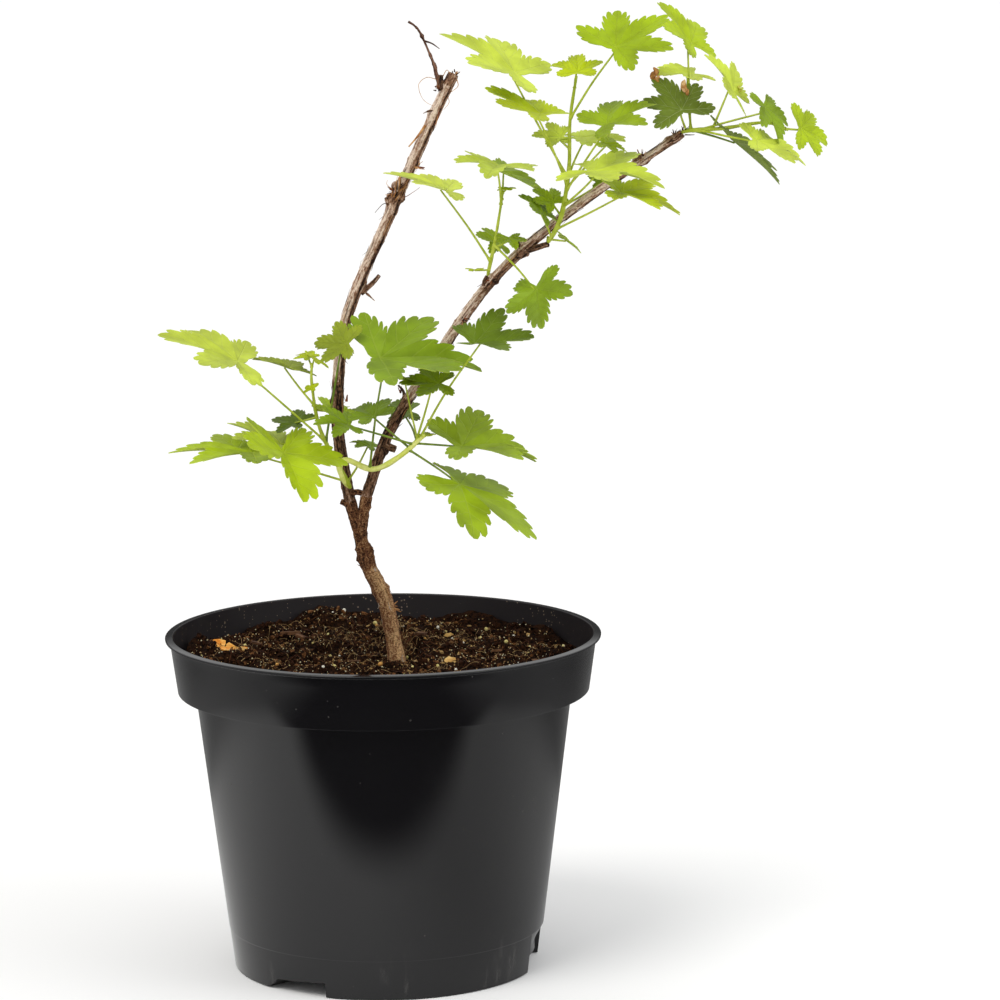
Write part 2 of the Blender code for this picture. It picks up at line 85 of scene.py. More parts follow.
def fade(value, low, high, start=0.0, end=1.0):
    inputs = {"Value": value, "From Min": low, "From Max": high, "To Min": start, "To Max": end}
    made = addNode(value.id_data, "ShaderNodeMapRange", inputs, interpolation_type="SMOOTHSTEP")
    return made.outputs["Result"]


def blendColours(factor, first, second):
    inputs = {0: factor, 6: first, 7: second}
    return addNode(factor.id_data, "ShaderNodeMix", inputs, data_type="RGBA").outputs[2]


def noiseOf(spot, scale, detail, roughness=0.5):
    inputs = {"Vector": spot, "Scale": scale, "Detail": detail, "Roughness": roughness}
    return addNode(spot.id_data, "ShaderNodeTexNoise", inputs).outputs["Fac"]


def stretched(spot, *scale):
    return addNode(spot.id_data, "ShaderNodeMapping", {"Vector": spot, "Scale": scale}).outputs[0]


def partOf(spot, axis):
    return addNode(spot.id_data, "ShaderNodeSeparateXYZ", {0: spot}).outputs[axis]


def spotIn(tree, kind="Object"):
    return addNode(tree, "ShaderNodeTexCoord").outputs[kind]


def newGroup(name, inputs, outputs):
    group = bpy.data.node_groups.new(name, "ShaderNodeTree")
    group.interface.new_socket("Vector", in_out="INPUT", socket_type="NodeSocketVector")
    for label, value in inputs.items():
        group.interface.new_socket(label, in_out="INPUT", socket_type="NodeSocketFloat").default_value = value
    for label in outputs:
        group.interface.new_socket(label, in_out="OUTPUT", socket_type="NodeSocketFloat")
    return group, group.nodes.new("NodeGroupInput").outputs, group.nodes.new("NodeGroupOutput").inputs


def newMaterial(name, roughness, gloss):
    material = bpy.data.materials.new(name)
    material.use_nodes = True
    shader = material.node_tree.nodes["Principled BSDF"]
    shader.inputs["Roughness"].default_value = roughness
    shader.inputs["Specular IOR Level"].default_value = gloss
    return material, material.node_tree, shader


def setRelief(shader, height, distance, strength=1.0):
    inputs = {"Height": height, "Distance": abs(distance), "Strength": strength}
    relief = addNode(shader.id_data, "ShaderNodeBump", inputs, invert=distance < 0)
    join(relief.outputs["Normal"], shader.inputs["Normal"])


def colour(red, green, blue):
    # a screen colour of 0 to 255 as the linear value that a shader takes
    return tuple((part / 255) ** 2.2 for part in (red, green, blue)) + (1.0,)


# helpers for meshes

def dealt(rng, *spans):
    return [rng.uniform(low, high) for low, high in spans]


def spun(axes, *angles, size=4):
    # turns about the named axes in radians, the last of them first
    whole = Matrix.Identity(size)
    for axis, angle in zip(axes, angles):
        whole = whole @ Matrix.Rotation(angle, size, axis)
    return whole


def aimed(way):
    return Vector(way).to_track_quat("-Z", "Y").to_matrix().to_4x4()


def addObject(name, data, matrix=Matrix.Identity(4)):
    made = bpy.data.objects.new(name, data)
    made.matrix_world = matrix
    scene.collection.objects.link(made)
    return made


def meshOf(bm, name="part"):
    mesh = bpy.data.meshes.new(name)
    bm.to_mesh(mesh)
    bm.free()
    return mesh


def moveInto(whole, bm):
    mesh = meshOf(bm)
    whole.from_mesh(mesh)
    bpy.data.meshes.remove(mesh)


def smoothMesh(mesh, sharp):
    mesh.shade_smooth()
    mesh.set_sharp_from_angle(angle=math.radians(sharp))


def makePiece(name, made, materials, sharp=40, slot=None, replaced=None):
    mesh = meshOf(made, name) if isinstance(made, bmesh.types.BMesh) else made
    smoothMesh(mesh, sharp)
    for material in materials:
        mesh.materials.append(material)
    piece = addObject(name, mesh)
    if slot:
        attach(piece, "root")
    if replaced:
        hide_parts(replaced)
    return piece


def roundEdges(bm, edges, width, segments):
    bmesh.ops.bevel(
        bm, geom=edges, offset=width * mm, offset_type="OFFSET", affect="EDGES", segments=segments,
        profile=0.5, material=-1, clamp_overlap=True,
    )


def spinLine(bm, spots, steps, merge=1e-5):
    # one full turn of a line of points about Z
    verts = [bm.verts.new(spot) for spot in spots]
    edges = [bm.edges.new(pair) for pair in zip(verts, verts[1:])]
    bmesh.ops.spin(
        bm, geom=[*verts, *edges], axis=(0, 0, 1), angle=math.tau, steps=steps, use_merge=True,
        use_duplicate=False,
    )
    bmesh.ops.remove_doubles(bm, verts=bm.verts, dist=merge)


def stepLengths(route):
    return [(end - start).length for start, end in zip(route, route[1:])]


def smoothRoute(points, steps):
    points = [Vector(point) for point in points]
    padded = [points[0] * 2 - points[1], *points, points[-1] * 2 - points[-2]]
    route = []
    for before, start, end, after in zip(padded, padded[1:], padded[2:], padded[3:]):
        for step in range(steps):
            t = step / steps
            rise = (end - before) * t
            bend = (2 * before - 5 * start + 4 * end - after) * t ** 2
            twist = (3 * start - before - 3 * end + after) * t ** 3
            route.append(start + (rise + bend + twist) / 2)
    return [*route, points[-1]]


def stationOn(route, share):
    lengths = stepLengths(route)
    left = share * sum(lengths)
    for start, end, length in zip(route, route[1:], lengths):
        if left <= length:
            return start.lerp(end, left / length)
        left -= length
    return route[-1].copy()


def tubeFrames(route):
    # the centre, the two directions across and the direction along, at each point of a route
    frames = []
    last = len(route) - 1
    across = Vector((0, 1, 0))
    for index, point in enumerate(route):
        along = (route[min(index + 1, last)] - route[max(index - 1, 0)]).normalized()
        if abs(along.dot(across)) > 0.98:
            across = Vector((1, 0, 0))
        across = (across - along * across.dot(along)).normalized()
        frames.append((point, across, along.cross(across), along))
    return frames


def addTube(bm, route, radius, sides, flat=1.0, relief=None, tone=None, tint=0):
    # one straight tube is spun about Z, with closed ends, and then laid along the route
    frames = tubeFrames(route)
    last = len(route) - 1
    tube = bmesh.new()
    spinLine(tube, [(0, 0, 0), *((1, 0, index) for index in range(last + 1)), (0, 0, last)], sides)
    coordLayer = tube.verts.layers.float_vector.new("barkCoord")
    toneLayer = tube.verts.layers.float.new("barkTone")
    lengths = [0.0, *itertools.accumulate(stepLengths(route))]
    for vert in tube.verts:
        index = round(vert.co.z)
        angle = math.atan2(vert.co.y, vert.co.x) % math.tau
        rim = min(1.0, vert.co.to_2d().length)
        centre, across, side, _ = frames[index]
        share = lengths[index] / lengths[-1]
        thick = radius(share)
        if relief:
            thick = relief(thick, share, angle, lengths[index])
        place = centre + (across * math.cos(angle) + side * math.sin(angle) * flat) * thick * rim
        vert[coordLayer] = (math.cos(angle) * thick * rim, math.sin(angle) * thick * rim, lengths[index])
        vert[toneLayer] = tone(share, angle, lengths[index]) if tone else 0.5
        vert.co = place * mm
    for face in tube.faces:
        face.material_index = tint
    bmesh.ops.recalc_face_normals(tube, faces=tube.faces)
    moveInto(bm, tube)


def taper(first, last):
    return lambda share: first + (last - first) * share


def cutWith(piece, cutters):
    collection = bpy.data.collections.new("cutters")
    scene.collection.children.link(collection)
    for cutter in cutters:
        scene.collection.objects.unlink(cutter)
        collection.objects.link(cutter)
    modifier = piece.modifiers.new("Cut", "BOOLEAN")
    modifier.operand_type, modifier.operation, modifier.solver = "COLLECTION", "DIFFERENCE", "EXACT"
    modifier.collection = collection
    mesh = bpy.data.meshes.new_from_object(piece.evaluated_get(bpy.context.evaluated_depsgraph_get()))
    piece.modifiers.clear()
    old, piece.data = piece.data, mesh
    bpy.data.meshes.remove(old)
    for cutter in cutters:
        bpy.data.objects.remove(cutter, do_unlink=True)
    bpy.data.collections.remove(collection)


def lumpShape(detail, roughness, rng):
    # an uneven pebble of a few faces
    bm = bmesh.new()
    bmesh.ops.create_icosphere(bm, subdivisions=detail, radius=1)
    for vert in bm.verts:
        vert.co *= 1 + rng.uniform(-roughness, roughness)
    bm.verts.index_update()
    return bm


def scatter(name, shape, places, materials):
    # many small copies of one shape as a single joined mesh: (matrix, material index) for each
    corners = numpy.array([vert.co[:] for vert in shape.verts])
    faces = numpy.array([[vert.index for vert in face.verts] for face in shape.faces])
    shape.free()
    matrices = numpy.array([matrix for matrix, _ in places])
    spots = numpy.einsum("nij,vj->nvi", matrices[:, :3, :3], corners) + matrices[:, None, :3, 3]
    offsets = numpy.arange(len(places))[:, None, None] * len(corners)
    mesh = bpy.data.meshes.new(name)
    mesh.from_pydata(spots.reshape(-1, 3), [], (faces[None] + offsets).reshape(-1, faces.shape[1]).tolist())
    mesh.polygons.foreach_set("material_index", numpy.repeat([index for _, index in places], len(faces)))
    mesh.update()
    makePiece(name, mesh, materials, 30, "peat")


# camera, light and floor

view = {
    "place": (0.046, -1.6, 0.4438),
    "pitch": -9.243,        # degrees below level
    "roll": -0.42,
    "lens": 150,
    "worldLight": 0.8,
    "studioRise": (0.18, 0.3),        # from dark to pale, as the upward part of a direction
    "lowDark": 0.9,
    "sunPower": 1.1,
    "sunFrom": (-0.7, -0.9, 1.6),
    "sunWidth": 28,        # degrees across, for soft shadows
    "sunColour": (1, 0.985, 0.95),
    "fillPower": 4,
    "fillFrom": (1.1, -0.5, 0.9),
    "fillAim": (0.03, 0, 0.2),
    "fillWidth": 0.9,
    "fillColour": (0.96, 0.98, 1),
    "floorColour": (0.97, 0.97, 0.968),
    "mirroredDarkColour": (0.015, 0.015, 0.015),        # painted reflection: the dark that the pot's gloss shows past the pale patch of floor
    "reflectionDarkEdge": (-0.158, -0.12),        # metres in front of the pot's middle, from dark to pale
    "reflectionPaleHalfWidth": (0.14, 0.27),
    "dimX": (-0.03, 0.1, 1.0, 0.62),        # from, to, and the light left at each
    "dimY": (-0.06, 0.22, 1.0, 0.4),
    "dimAway": (0.215, 0.28, 1.0, 0.5),
}

lens = bpy.data.cameras.new("camera")
lens.lens = view["lens"]
lens.sensor_width = 36
lens.clip_end = 100
turn = spun("XZ", math.radians(90 + view["pitch"]), math.radians(view["roll"]))
scene.camera = addObject("camera", lens, Matrix.Translation(view["place"]) @ turn)
scene.view_settings.view_transform = "Standard"


def addLight(name, kind, place, target, **settings):
    lamp = bpy.data.lights.new(name, kind)
    for label, value in settings.items():
        setattr(lamp, label, value)
    addObject(name, lamp, Matrix.Translation(place) @ aimed(Vector(target) - Vector(place)))


addLight("sun", "SUN", view["sunFrom"], (0, 0, 0), energy=view["sunPower"], color=view["sunColour"],
         angle=math.radians(view["sunWidth"]))
addLight("fill_light", "AREA", view["fillFrom"], view["fillAim"], energy=view["fillPower"],
         color=view["fillColour"], shape="DISK", size=view["fillWidth"])

world = bpy.data.worlds.new("studio")
world.use_nodes = True
scene.world = world
backdrop = world.node_tree.nodes["Background"].inputs
backdrop["Color"].default_value = (1, 1, 1, 1)
rays = addNode(world.node_tree, "ShaderNodeLightPath").outputs
height = partOf(spotIn(world.node_tree, "Generated"), "Z")
# the studio is dark low down, which shows only where it is mirrored
lowShade = times(fade(height, *view["studioRise"], view["lowDark"], 0.0), rays["Is Glossy Ray"])
studioLight = times(minus(1.0, lowShade), view["worldLight"])
join(reckon("MAXIMUM", rays["Is Camera Ray"], studioLight), backdrop["Strength"])

floorMesh = bmesh.new()
bmesh.ops.create_grid(floorMesh, x_segments=2, y_segments=2, size=20)
bmesh.ops.translate(floorMesh, verts=floorMesh.verts, vec=(0, 0, -0.0003))
floorMaterial, floorTree, floorShader = newMaterial("pale_floor", 0.9, 0.1)
# painted reflection: seen by gloss rays only, the floor turns dark not far in front of the pot and darkens to
# the right and behind, a painted dark room for the pot to mirror
spot = spotIn(floorTree)
floorX, floorY = partOf(spot, "X"), partOf(spot, "Y")
beside = fade(reckon("ABSOLUTE", floorX), *view["reflectionPaleHalfWidth"], 1.0, 0.1)
reflectedPale = minus(1.0, times(fade(floorY, *view["reflectionDarkEdge"], 0.97, 0.0), beside))
away = addNode(floorTree, "ShaderNodeVectorMath", {0: spot}, operation="LENGTH").outputs["Value"]
for value, label in ((floorX, "dimX"), (floorY, "dimY"), (away, "dimAway")):
    reflectedPale = times(reflectedPale, fade(value, *view[label]))
# the painted reflection's mask: where gloss rays see the floor dark
paintedReflectionMask = times(minus(1.0, reflectedPale), addNode(floorTree, "ShaderNodeLightPath").outputs["Is Glossy Ray"])
floorColour = blendColours(paintedReflectionMask, (*view["floorColour"], 1), (*view["mirroredDarkColour"], 1))
join(floorColour, floorShader.inputs["Base Color"])
makePiece("floor", floorMesh, [floorMaterial])
print("camera, light and floor set")


# shader groups used by more than one material

# specks of soil dust and faint smears on plastic
dustGroup, dustIn, dustOut = newGroup("dustSpecks", {"Amount": 0.5, "Size": 260.0}, ("Specks", "Smears"))
specks = addNode(
    dustGroup, "ShaderNodeTexVoronoi", {"Vector": dustIn["Vector"], "Scale": dustIn["Size"]}
).outputs
speckAmount = times(fade(noiseOf(dustIn["Vector"], 45.0, 5.0), 0.26, 0.7), dustIn["Amount"])
speckMask = reckon("LESS_THAN", specks["Distance"], times(speckAmount, 0.35))
speckChoice = reckon("LESS_THAN", partOf(specks["Color"], "X"), 0.2)
join(times(speckMask, speckChoice), dustOut["Specks"])
smearNoise = noiseOf(stretched(dustIn["Vector"], 1.0, 1.0, 0.35), 30.0, 6.0, 0.62)
join(fade(smearNoise, 0.42, 0.7), dustOut["Smears"])

# fibrous streaks that run along a limb, and the cracks between them
streakGroup, streakIn, streakOut = newGroup(
    "barkStreaks", {"Fineness": 1.0}, ("Streaks", "Fine", "Flakes", "Height")
)
broad, fine, flakes = (
    noiseOf(stretched(streakIn["Vector"], 1, 1, stretch), times(streakIn["Fineness"], scale), detail, 0.6)
    for stretch, scale, detail in ((0.09, 0.75, 4.0), (0.14, 3.2, 4.0), (0.45, 0.9, 6.0))
)
join(fade(broad, 0.36, 0.64), streakOut["Streaks"])
join(fade(fine, 0.3, 0.7), streakOut["Fine"])
join(fade(flakes, 0.38, 0.62), streakOut["Flakes"])
join(plus(fine, times(flakes, 0.8)), streakOut["Height"])

# a leaf's veins: U is how far off the lobe's own vein, V is the reach from the stalk
veinGroup, veinIn, veinOut = newGroup("leafVeins", {"Spacing": 0.19}, ("Veins", "Height"))
reach = partOf(veinIn["Vector"], "Y")
veinAngle = times(partOf(veinIn["Vector"], "X"), 0.471)        # half a lobe's angle, in radians
veinAcross = times(reach, reckon("SINE", veinAngle))
veinAlong = times(reach, reckon("COSINE", veinAngle))
mainVein = fade(veinAcross, 0.002, minus(0.014, times(reach, 0.009)), 1.0, 0.0)
sideCount = reckon("DIVIDE", minus(veinAlong, times(veinAcross, 1.15)), veinIn["Spacing"])
sideOff = reckon("ABSOLUTE", minus(reckon("FRACT", sideCount), 0.5))
sideFade = times(fade(reach, 0.75, 1.0, 1.0, 0.0), fade(reach, 0.12, 0.24))
sideVein = times(fade(sideOff, 0.015, 0.08, 1.0, 0.0), sideFade)
allVeins = reckon("MAXIMUM", mainVein, times(sideVein, 0.6))
quilting = times(fade(sideOff, 0.0, 0.45), sideFade)
join(allVeins, veinOut["Veins"])
join(minus(times(quilting, 0.55), allVeins), veinOut["Height"])
print("shader groups built")


# materials

def mottledMaterial(name, dark, light, scale, roughness, bump=0.0, gloss=0.3):
    # an uneven natural colour, with a grain in its relief
    material, tree, shader = newMaterial(name, roughness, gloss)
    grain = noiseOf(spotIn(tree), scale, 5.0, 0.65)
    join(blendColours(fade(grain, 0.35, 0.65), colour(*dark), colour(*light)), shader.inputs["Base Color"])
    if bump:
        setRelief(shader, grain, bump)
    return material


def mottledSet(finish, **tints):
    # several of them alike: what each is called, its dark and its light colour
    return [mottledMaterial(name, *pair, *finish) for name, pair in tints.items()]


def plasticMaterial(name, base, roughness, gloss, dustAmount, dustSize, dustColour, smearGain):
    # smooth plastic in slow waves, with smears, dust and a scuffed foot
    material, tree, shader = newMaterial(name, roughness, gloss)
    spot = spotIn(tree)
    inputs = {"Vector": spot, "Amount": dustAmount, "Size": dustSize}
    dust = addNode(tree, "ShaderNodeGroup", inputs, node_tree=dustGroup).outputs
    # fine upright scuffs about the foot
    scuffs = fade(noiseOf(stretched(spot, 1.0, 1.0, 0.16), 320.0, 4.0, 0.6), 0.5, 0.72)
    scuffs = times(scuffs, fade(partOf(spot, "Z"), 0.003, 0.024, 1.0, 0.0))
    scuffs = times(scuffs, fade(dust["Smears"], 0.2, 0.8))
    scuffed = blendColours(times(scuffs, 0.4), base, colour(92, 90, 88))
    join(blendColours(dust["Specks"], scuffed, colour(*dustColour)), shader.inputs["Base Color"])
    rough = plus(plus(times(dust["Smears"], smearGain), roughness), times(scuffs, 0.3))
    join(plus(rough, times(dust["Specks"], 0.4), clamp=True), shader.inputs["Roughness"])
    setRelief(shader, noiseOf(spot, 14.0, 2.0), 0.0006, 0.25)
    return material


def barkMaterial(name, deep, middle, pale, fineness, speckle, shortness, bump):
    # its colour runs from deep to pale by the limb's own tone, and by streaks and flakes about it
    material, tree, shader = newMaterial(name, 0.85, 0.25)
    spot = addNode(tree, "ShaderNodeAttribute", attribute_name="barkCoord").outputs["Vector"]
    tone = addNode(tree, "ShaderNodeAttribute", attribute_name="barkTone").outputs["Fac"]
    inputs = {"Vector": stretched(spot, 1, 1, shortness), "Fineness": fineness}
    streaks = addNode(tree, "ShaderNodeGroup", inputs, node_tree=streakGroup).outputs
    swing, fine, flecks = (
        times(minus(streaks[label], 0.5), gain) for label, gain in
        (("Streaks", 0.62 - speckle), ("Fine", 0.34 - speckle * 0.4), ("Flakes", 0.2 + speckle))
    )
    level = plus(plus(tone, flecks), plus(swing, fine), clamp=True)
    ramp = addNode(tree, "ShaderNodeValToRGB", {"Fac": level})
    ramp.color_ramp.elements[0].color = colour(*deep)
    ramp.color_ramp.elements[1].color = colour(*pale)
    ramp.color_ramp.elements.new(0.5).color = colour(*middle)
    join(ramp.outputs["Color"], shader.inputs["Base Color"])
    setRelief(shader, streaks["Height"], bump, 0.9)
    return material


def leafMaterial(name, blade, vein, roughness, bump):
    # an underside takes a bump below zero, so that its veins stand out where the upper side's sink in
    material, tree, shader = newMaterial(name, roughness, 0.22)
    veins = addNode(tree, "ShaderNodeGroup", {"Vector": spotIn(tree, "UV")}, node_tree=veinGroup).outputs
    patches = fade(noiseOf(spotIn(tree), 75.0, 4.0), 0.3, 0.7)
    red, green, blue, _ = colour(*blade)
    darker, lighter = (
        (min(1.0, red * gain), min(1.0, green * gain), min(1.0, blue * gain), 1.0) for gain in (0.8, 1.2)
    )
    skin = blendColours(times(veins["Veins"], 0.36), blendColours(patches, darker, lighter), colour(*vein))
    join(skin, shader.inputs["Base Color"])
    setRelief(shader, veins["Height"], bump)
    return material


plastics = {
    # base colour, roughness, gloss, dust's amount, fineness and colour, how much the smears dull it
    "gloss_black": ((0.0045, 0.0042, 0.005, 1), 0.08, 0.47, 0.3, 260.0, (60, 58, 56), 0.08),
    "inner_black": ((0.02, 0.0165, 0.0185, 1), 0.4, 0.24, 1.0, 950.0, (124, 110, 98), 0.2),
}
barks = {
    # dark, middle and pale colour, fineness, speckle, how short the streaks are, relief in metres
    "trunk_bark": ((44, 25, 18), (148, 98, 66), (238, 194, 140), 1.5, 0.28, 3.2, 0.0009),
    "bough_bark": ((40, 25, 19), (154, 112, 86), (246, 222, 202), 1.5, 0.14, 1.2, 0.0009),
    "twig_bark": ((34, 22, 20), (92, 60, 50), (152, 112, 92), 2.0, 0.2, 1.0, 0.0007),
}
outerPlastic, innerPlastic = (plasticMaterial(name, *look) for name, look in plastics.items())
peatMaterial = mottledMaterial("wet_peat", (14, 8, 5), (54, 34, 22), 620, 0.9, 0.0022, 0.06)

leafTones = {
    # upper side, underside, vein
    "bright": ((158, 180, 22), (174, 192, 64), (180, 196, 68)),
    "yellow": ((172, 188, 18), (184, 198, 58), (192, 204, 72)),
    "pale": ((184, 200, 66), (194, 208, 98), (202, 214, 102)),
    "mid": ((138, 161, 26), (158, 178, 64), (164, 184, 68)),
    "green": ((121, 146, 26), (146, 166, 60), (152, 172, 64)),
    "olive": ((132, 146, 30), (150, 162, 64), (156, 168, 70)),
    "dark": ((94, 115, 24), (122, 140, 58), (130, 148, 62)),
    "dusky": ((104, 121, 38), (124, 142, 60), (186, 198, 132)),
    "lush": ((144, 168, 2), (160, 178, 50), (170, 186, 54)),
    "light": ((206, 220, 82), (208, 220, 104), (220, 228, 124)),
}
leafMaterials = {}
for name, (upper, under, veinTint) in leafTones.items():
    leafMaterials[name] = (
        leafMaterial("leaf_" + name, upper, veinTint, 0.52, 0.00016),
        leafMaterial("underleaf_" + name, under, veinTint, 0.62, -0.00022),
    )
stalkMaterials = mottledSet(
    (260, 0.5, 0.0001), stalk_yellow=((156, 172, 38), (186, 198, 74)),
    stalk_green=((96, 120, 34), (130, 150, 52)), stalk_pale=((212, 220, 92), (238, 240, 146)),
)
trunkBark, boughBark, twigBark = (barkMaterial(name, *look) for name, look in barks.items())
shredMaterials = [
    *mottledSet((300, 0.85, 0.0002), shred_dark=((40, 26, 20), (74, 48, 36))),
    *mottledSet(
        (300, 0.8, 0.0002), shred_tan=((150, 98, 54), (206, 156, 104)),
        shred_red=((96, 50, 34), (148, 86, 58)), shred_pale=((188, 168, 150), (226, 210, 196)),
    ),
]
print("materials made")


# pot

pot = {
    "height": 131.4,
    "baseRadius": 60.0,
    "bodyTopRadius": 73.7,
    "bandFoot": 109.5,
    "bandFootRadius": 80.5,
    "bandTop": 126.0,
    "bandTopRadius": 82.8,
    "lipRadius": 85.2,
    "lipHeight": 1.2,
    "flange": 2.7,        # how wide the lip's flat top is
    "wall": 1.3,
    "floor": 1.4,
    "seamHeight": 15.5,
    "seamStep": 0.16,
    "edgeRound": 0.5,
    "bevel": 0.3,
    "bevelSteps": 3,
    "bevelFrom": 25,        # degrees between the faces of an edge that is rounded
    "notchAngles": (-36,),
    "recessAngles": (82, 204),
    "notchHalfWidth": 14.5,
    "notchHeight": 5.0,
    "notchRise": (-0.7, 0.8),        # from its left end to its right
    "notchSlant": 8,        # degrees that its left end leans at the top
    "notchCorner": 1.6,
    "notchInnerRadius": 43.0,
    "notchSteps": 18,
    "cutReach": 12,        # how far the cutters stand out past the foot
    "recessDepth": 2.7,
    "recessShoulder": 9.5,
    "steps": 160,
}
gap = 0.3


def bodyRadius(height):
    rise = pot["bodyTopRadius"] - pot["baseRadius"]
    return pot["baseRadius"] + rise * height / pot["bandFoot"]


def turnProfile(profile, steps):
    # spins a profile of radius and height about the pot's axis
    bm = bmesh.new()
    spinLine(bm, [(radius * mm, 0, height * mm) for radius, height in profile], steps, 1e-6)
    bmesh.ops.recalc_face_normals(bm, faces=bm.faces)
    return bm


def turnSector(profile, steps, start, sweep):
    # the same through part of a turn, as a closed body
    bm = bmesh.new()
    section = bm.faces.new([bm.verts.new((radius * mm, 0, height * mm)) for radius, height in profile])
    parts = [*section.verts, *section.edges, section]
    bmesh.ops.rotate(bm, verts=bm.verts, matrix=Matrix.Rotation(start, 3, "Z"))
    bmesh.ops.spin(bm, geom=parts, axis=(0, 0, 1), angle=sweep, steps=steps, use_duplicate=False)
    bmesh.ops.remove_doubles(bm, verts=bm.verts, dist=1e-6)
    bmesh.ops.recalc_face_normals(bm, faces=bm.faces)
    return bm


def outerProfile():
    top, lip, band, seam = pot["height"], pot["lipRadius"], pot["bandTopRadius"], pot["seamHeight"]
    lipFoot, seamStep = top - pot["lipHeight"], pot["seamStep"]
    return (
        (0, 0), (pot["baseRadius"], 0), (bodyRadius(seam), seam),
        (bodyRadius(seam) + seamStep, seam + seamStep), (pot["bodyTopRadius"], pot["bandFoot"]),
        (pot["bandFootRadius"], pot["bandFoot"]), (band, pot["bandTop"]), (band + 0.5, lipFoot - 0.5),
        (lip - 0.1, lipFoot), (lip, top - 0.5), (lip - 0.3, top - 0.24), (lip - pot["flange"] - 0.3, top),
        (0, top),
    )


def hollowProfile(offset, top):
    wall, bandFoot, bandTop = pot["wall"] + offset, pot["bandFoot"], pot["bandTop"]
    foot, head = pot["bandFootRadius"] - wall, pot["bandTopRadius"] - wall
    step, mouth = bandFoot + pot["wall"], pot["lipRadius"] - pot["flange"] - offset
    profile = [
        (0, pot["floor"] + offset), (pot["baseRadius"] - wall, pot["floor"] + offset),
        (pot["bodyTopRadius"] - wall, step - pot["edgeRound"]), (foot, step + offset),
    ]
    if top > bandTop:
        lip = pot["height"]
        profile += [(head, bandTop), (mouth - 0.35, lip - 0.35), (mouth, lip), (mouth, top)]
    else:
        profile.append((foot + (head - foot) / (bandTop - bandFoot) * (top - bandFoot), top))
    return [*profile, (0, top)]


def makeRecesses(offset):
    pieces = []
    top, foot, seam = pot["recessShoulder"] + offset, pot["notchHeight"] + offset, pot["seamHeight"]
    shoulder = bodyRadius(pot["recessShoulder"]) - pot["recessDepth"] - offset
    inner, outside = pot["notchInnerRadius"] - offset, pot["baseRadius"] + pot["cutReach"]
    profile = (
        (inner, -1), (outside, -1), (outside, seam + offset),
        (bodyRadius(seam) - offset * 0.5, seam + offset), (shoulder + 0.9, top + 1.4), (shoulder, top - 1.2),
        (shoulder, foot), (inner, foot),
    )
    plain = ((inner, -1), (outside, -1), (outside, foot), (inner, foot))
    halfWidth = math.radians(pot["notchHalfWidth"]) + offset / pot["baseRadius"]
    for angle in pot["recessAngles"]:
        first = math.radians(angle - 90) - halfWidth
        bm = turnSector(profile, pot["notchSteps"], first, 2 * halfWidth)
        pieces.append(makePiece("recess", bm, []))
    for angle in pot["notchAngles"]:
        first = math.radians(angle - 90) - halfWidth
        bm = turnSector(plain, pot["notchSteps"], first, 2 * halfWidth)
        for vert in bm.verts:
            if vert.co.z > 0.002:
                share = (math.atan2(vert.co.y, vert.co.x) - first) / (2 * halfWidth)
                vert.co.z += (pot["notchRise"][0] * (1 - share) + pot["notchRise"][1] * share) * mm
                vert.co.rotate(Matrix.Rotation(math.radians(pot["notchSlant"]) * (1 - share), 3, "Z"))
        corners = [
            edge for edge in bm.edges if min(vert.co.z for vert in edge.verts) > 0.002
            and edge.calc_face_angle() > 0.8
            and abs(edge.verts[0].co.length - edge.verts[1].co.length) > 0.01
        ]
        roundEdges(bm, corners, pot["notchCorner"], 4)
        pieces.append(makePiece("notch", bm, []))
    return pieces


outside = turnProfile(outerProfile(), pot["steps"])
sharpest = math.radians(pot["bevelFrom"])
rings = [edge for edge in outside.edges if len(edge.link_faces) == 2 and edge.calc_face_angle() > sharpest]
roundEdges(outside, rings, pot["bevel"], pot["bevelSteps"])
shell = makePiece("pot_shell", outside, [outerPlastic, innerPlastic], slot="black_plastic", replaced="pot")
hollow = makePiece("hollow", turnProfile(hollowProfile(0, pot["height"] + 1), pot["steps"]), [])
cutWith(hollow, makeRecesses(pot["wall"]))
cutWith(shell, [hollow])
cutWith(shell, makeRecesses(0))
trim = bmesh.new()
trim.from_mesh(shell.data)
bmesh.ops.remove_doubles(trim, verts=trim.verts, dist=2e-5)
for face in trim.faces:
    spot = face.calc_center_median()
    facingIn = face.normal.x * spot.x + face.normal.y * spot.y < 0
    wall = facingIn and spot.z > 0.006 and spot.to_2d().length > 0.05
    bottom = face.normal.z > 0.5 and spot.z < 0.11
    face.material_index = 1 if wall or bottom else 0
trim.to_mesh(shell.data)
trim.free()
smoothMesh(shell.data, 28)
print("pot made:", len(shell.data.polygons), "faces")


# soil

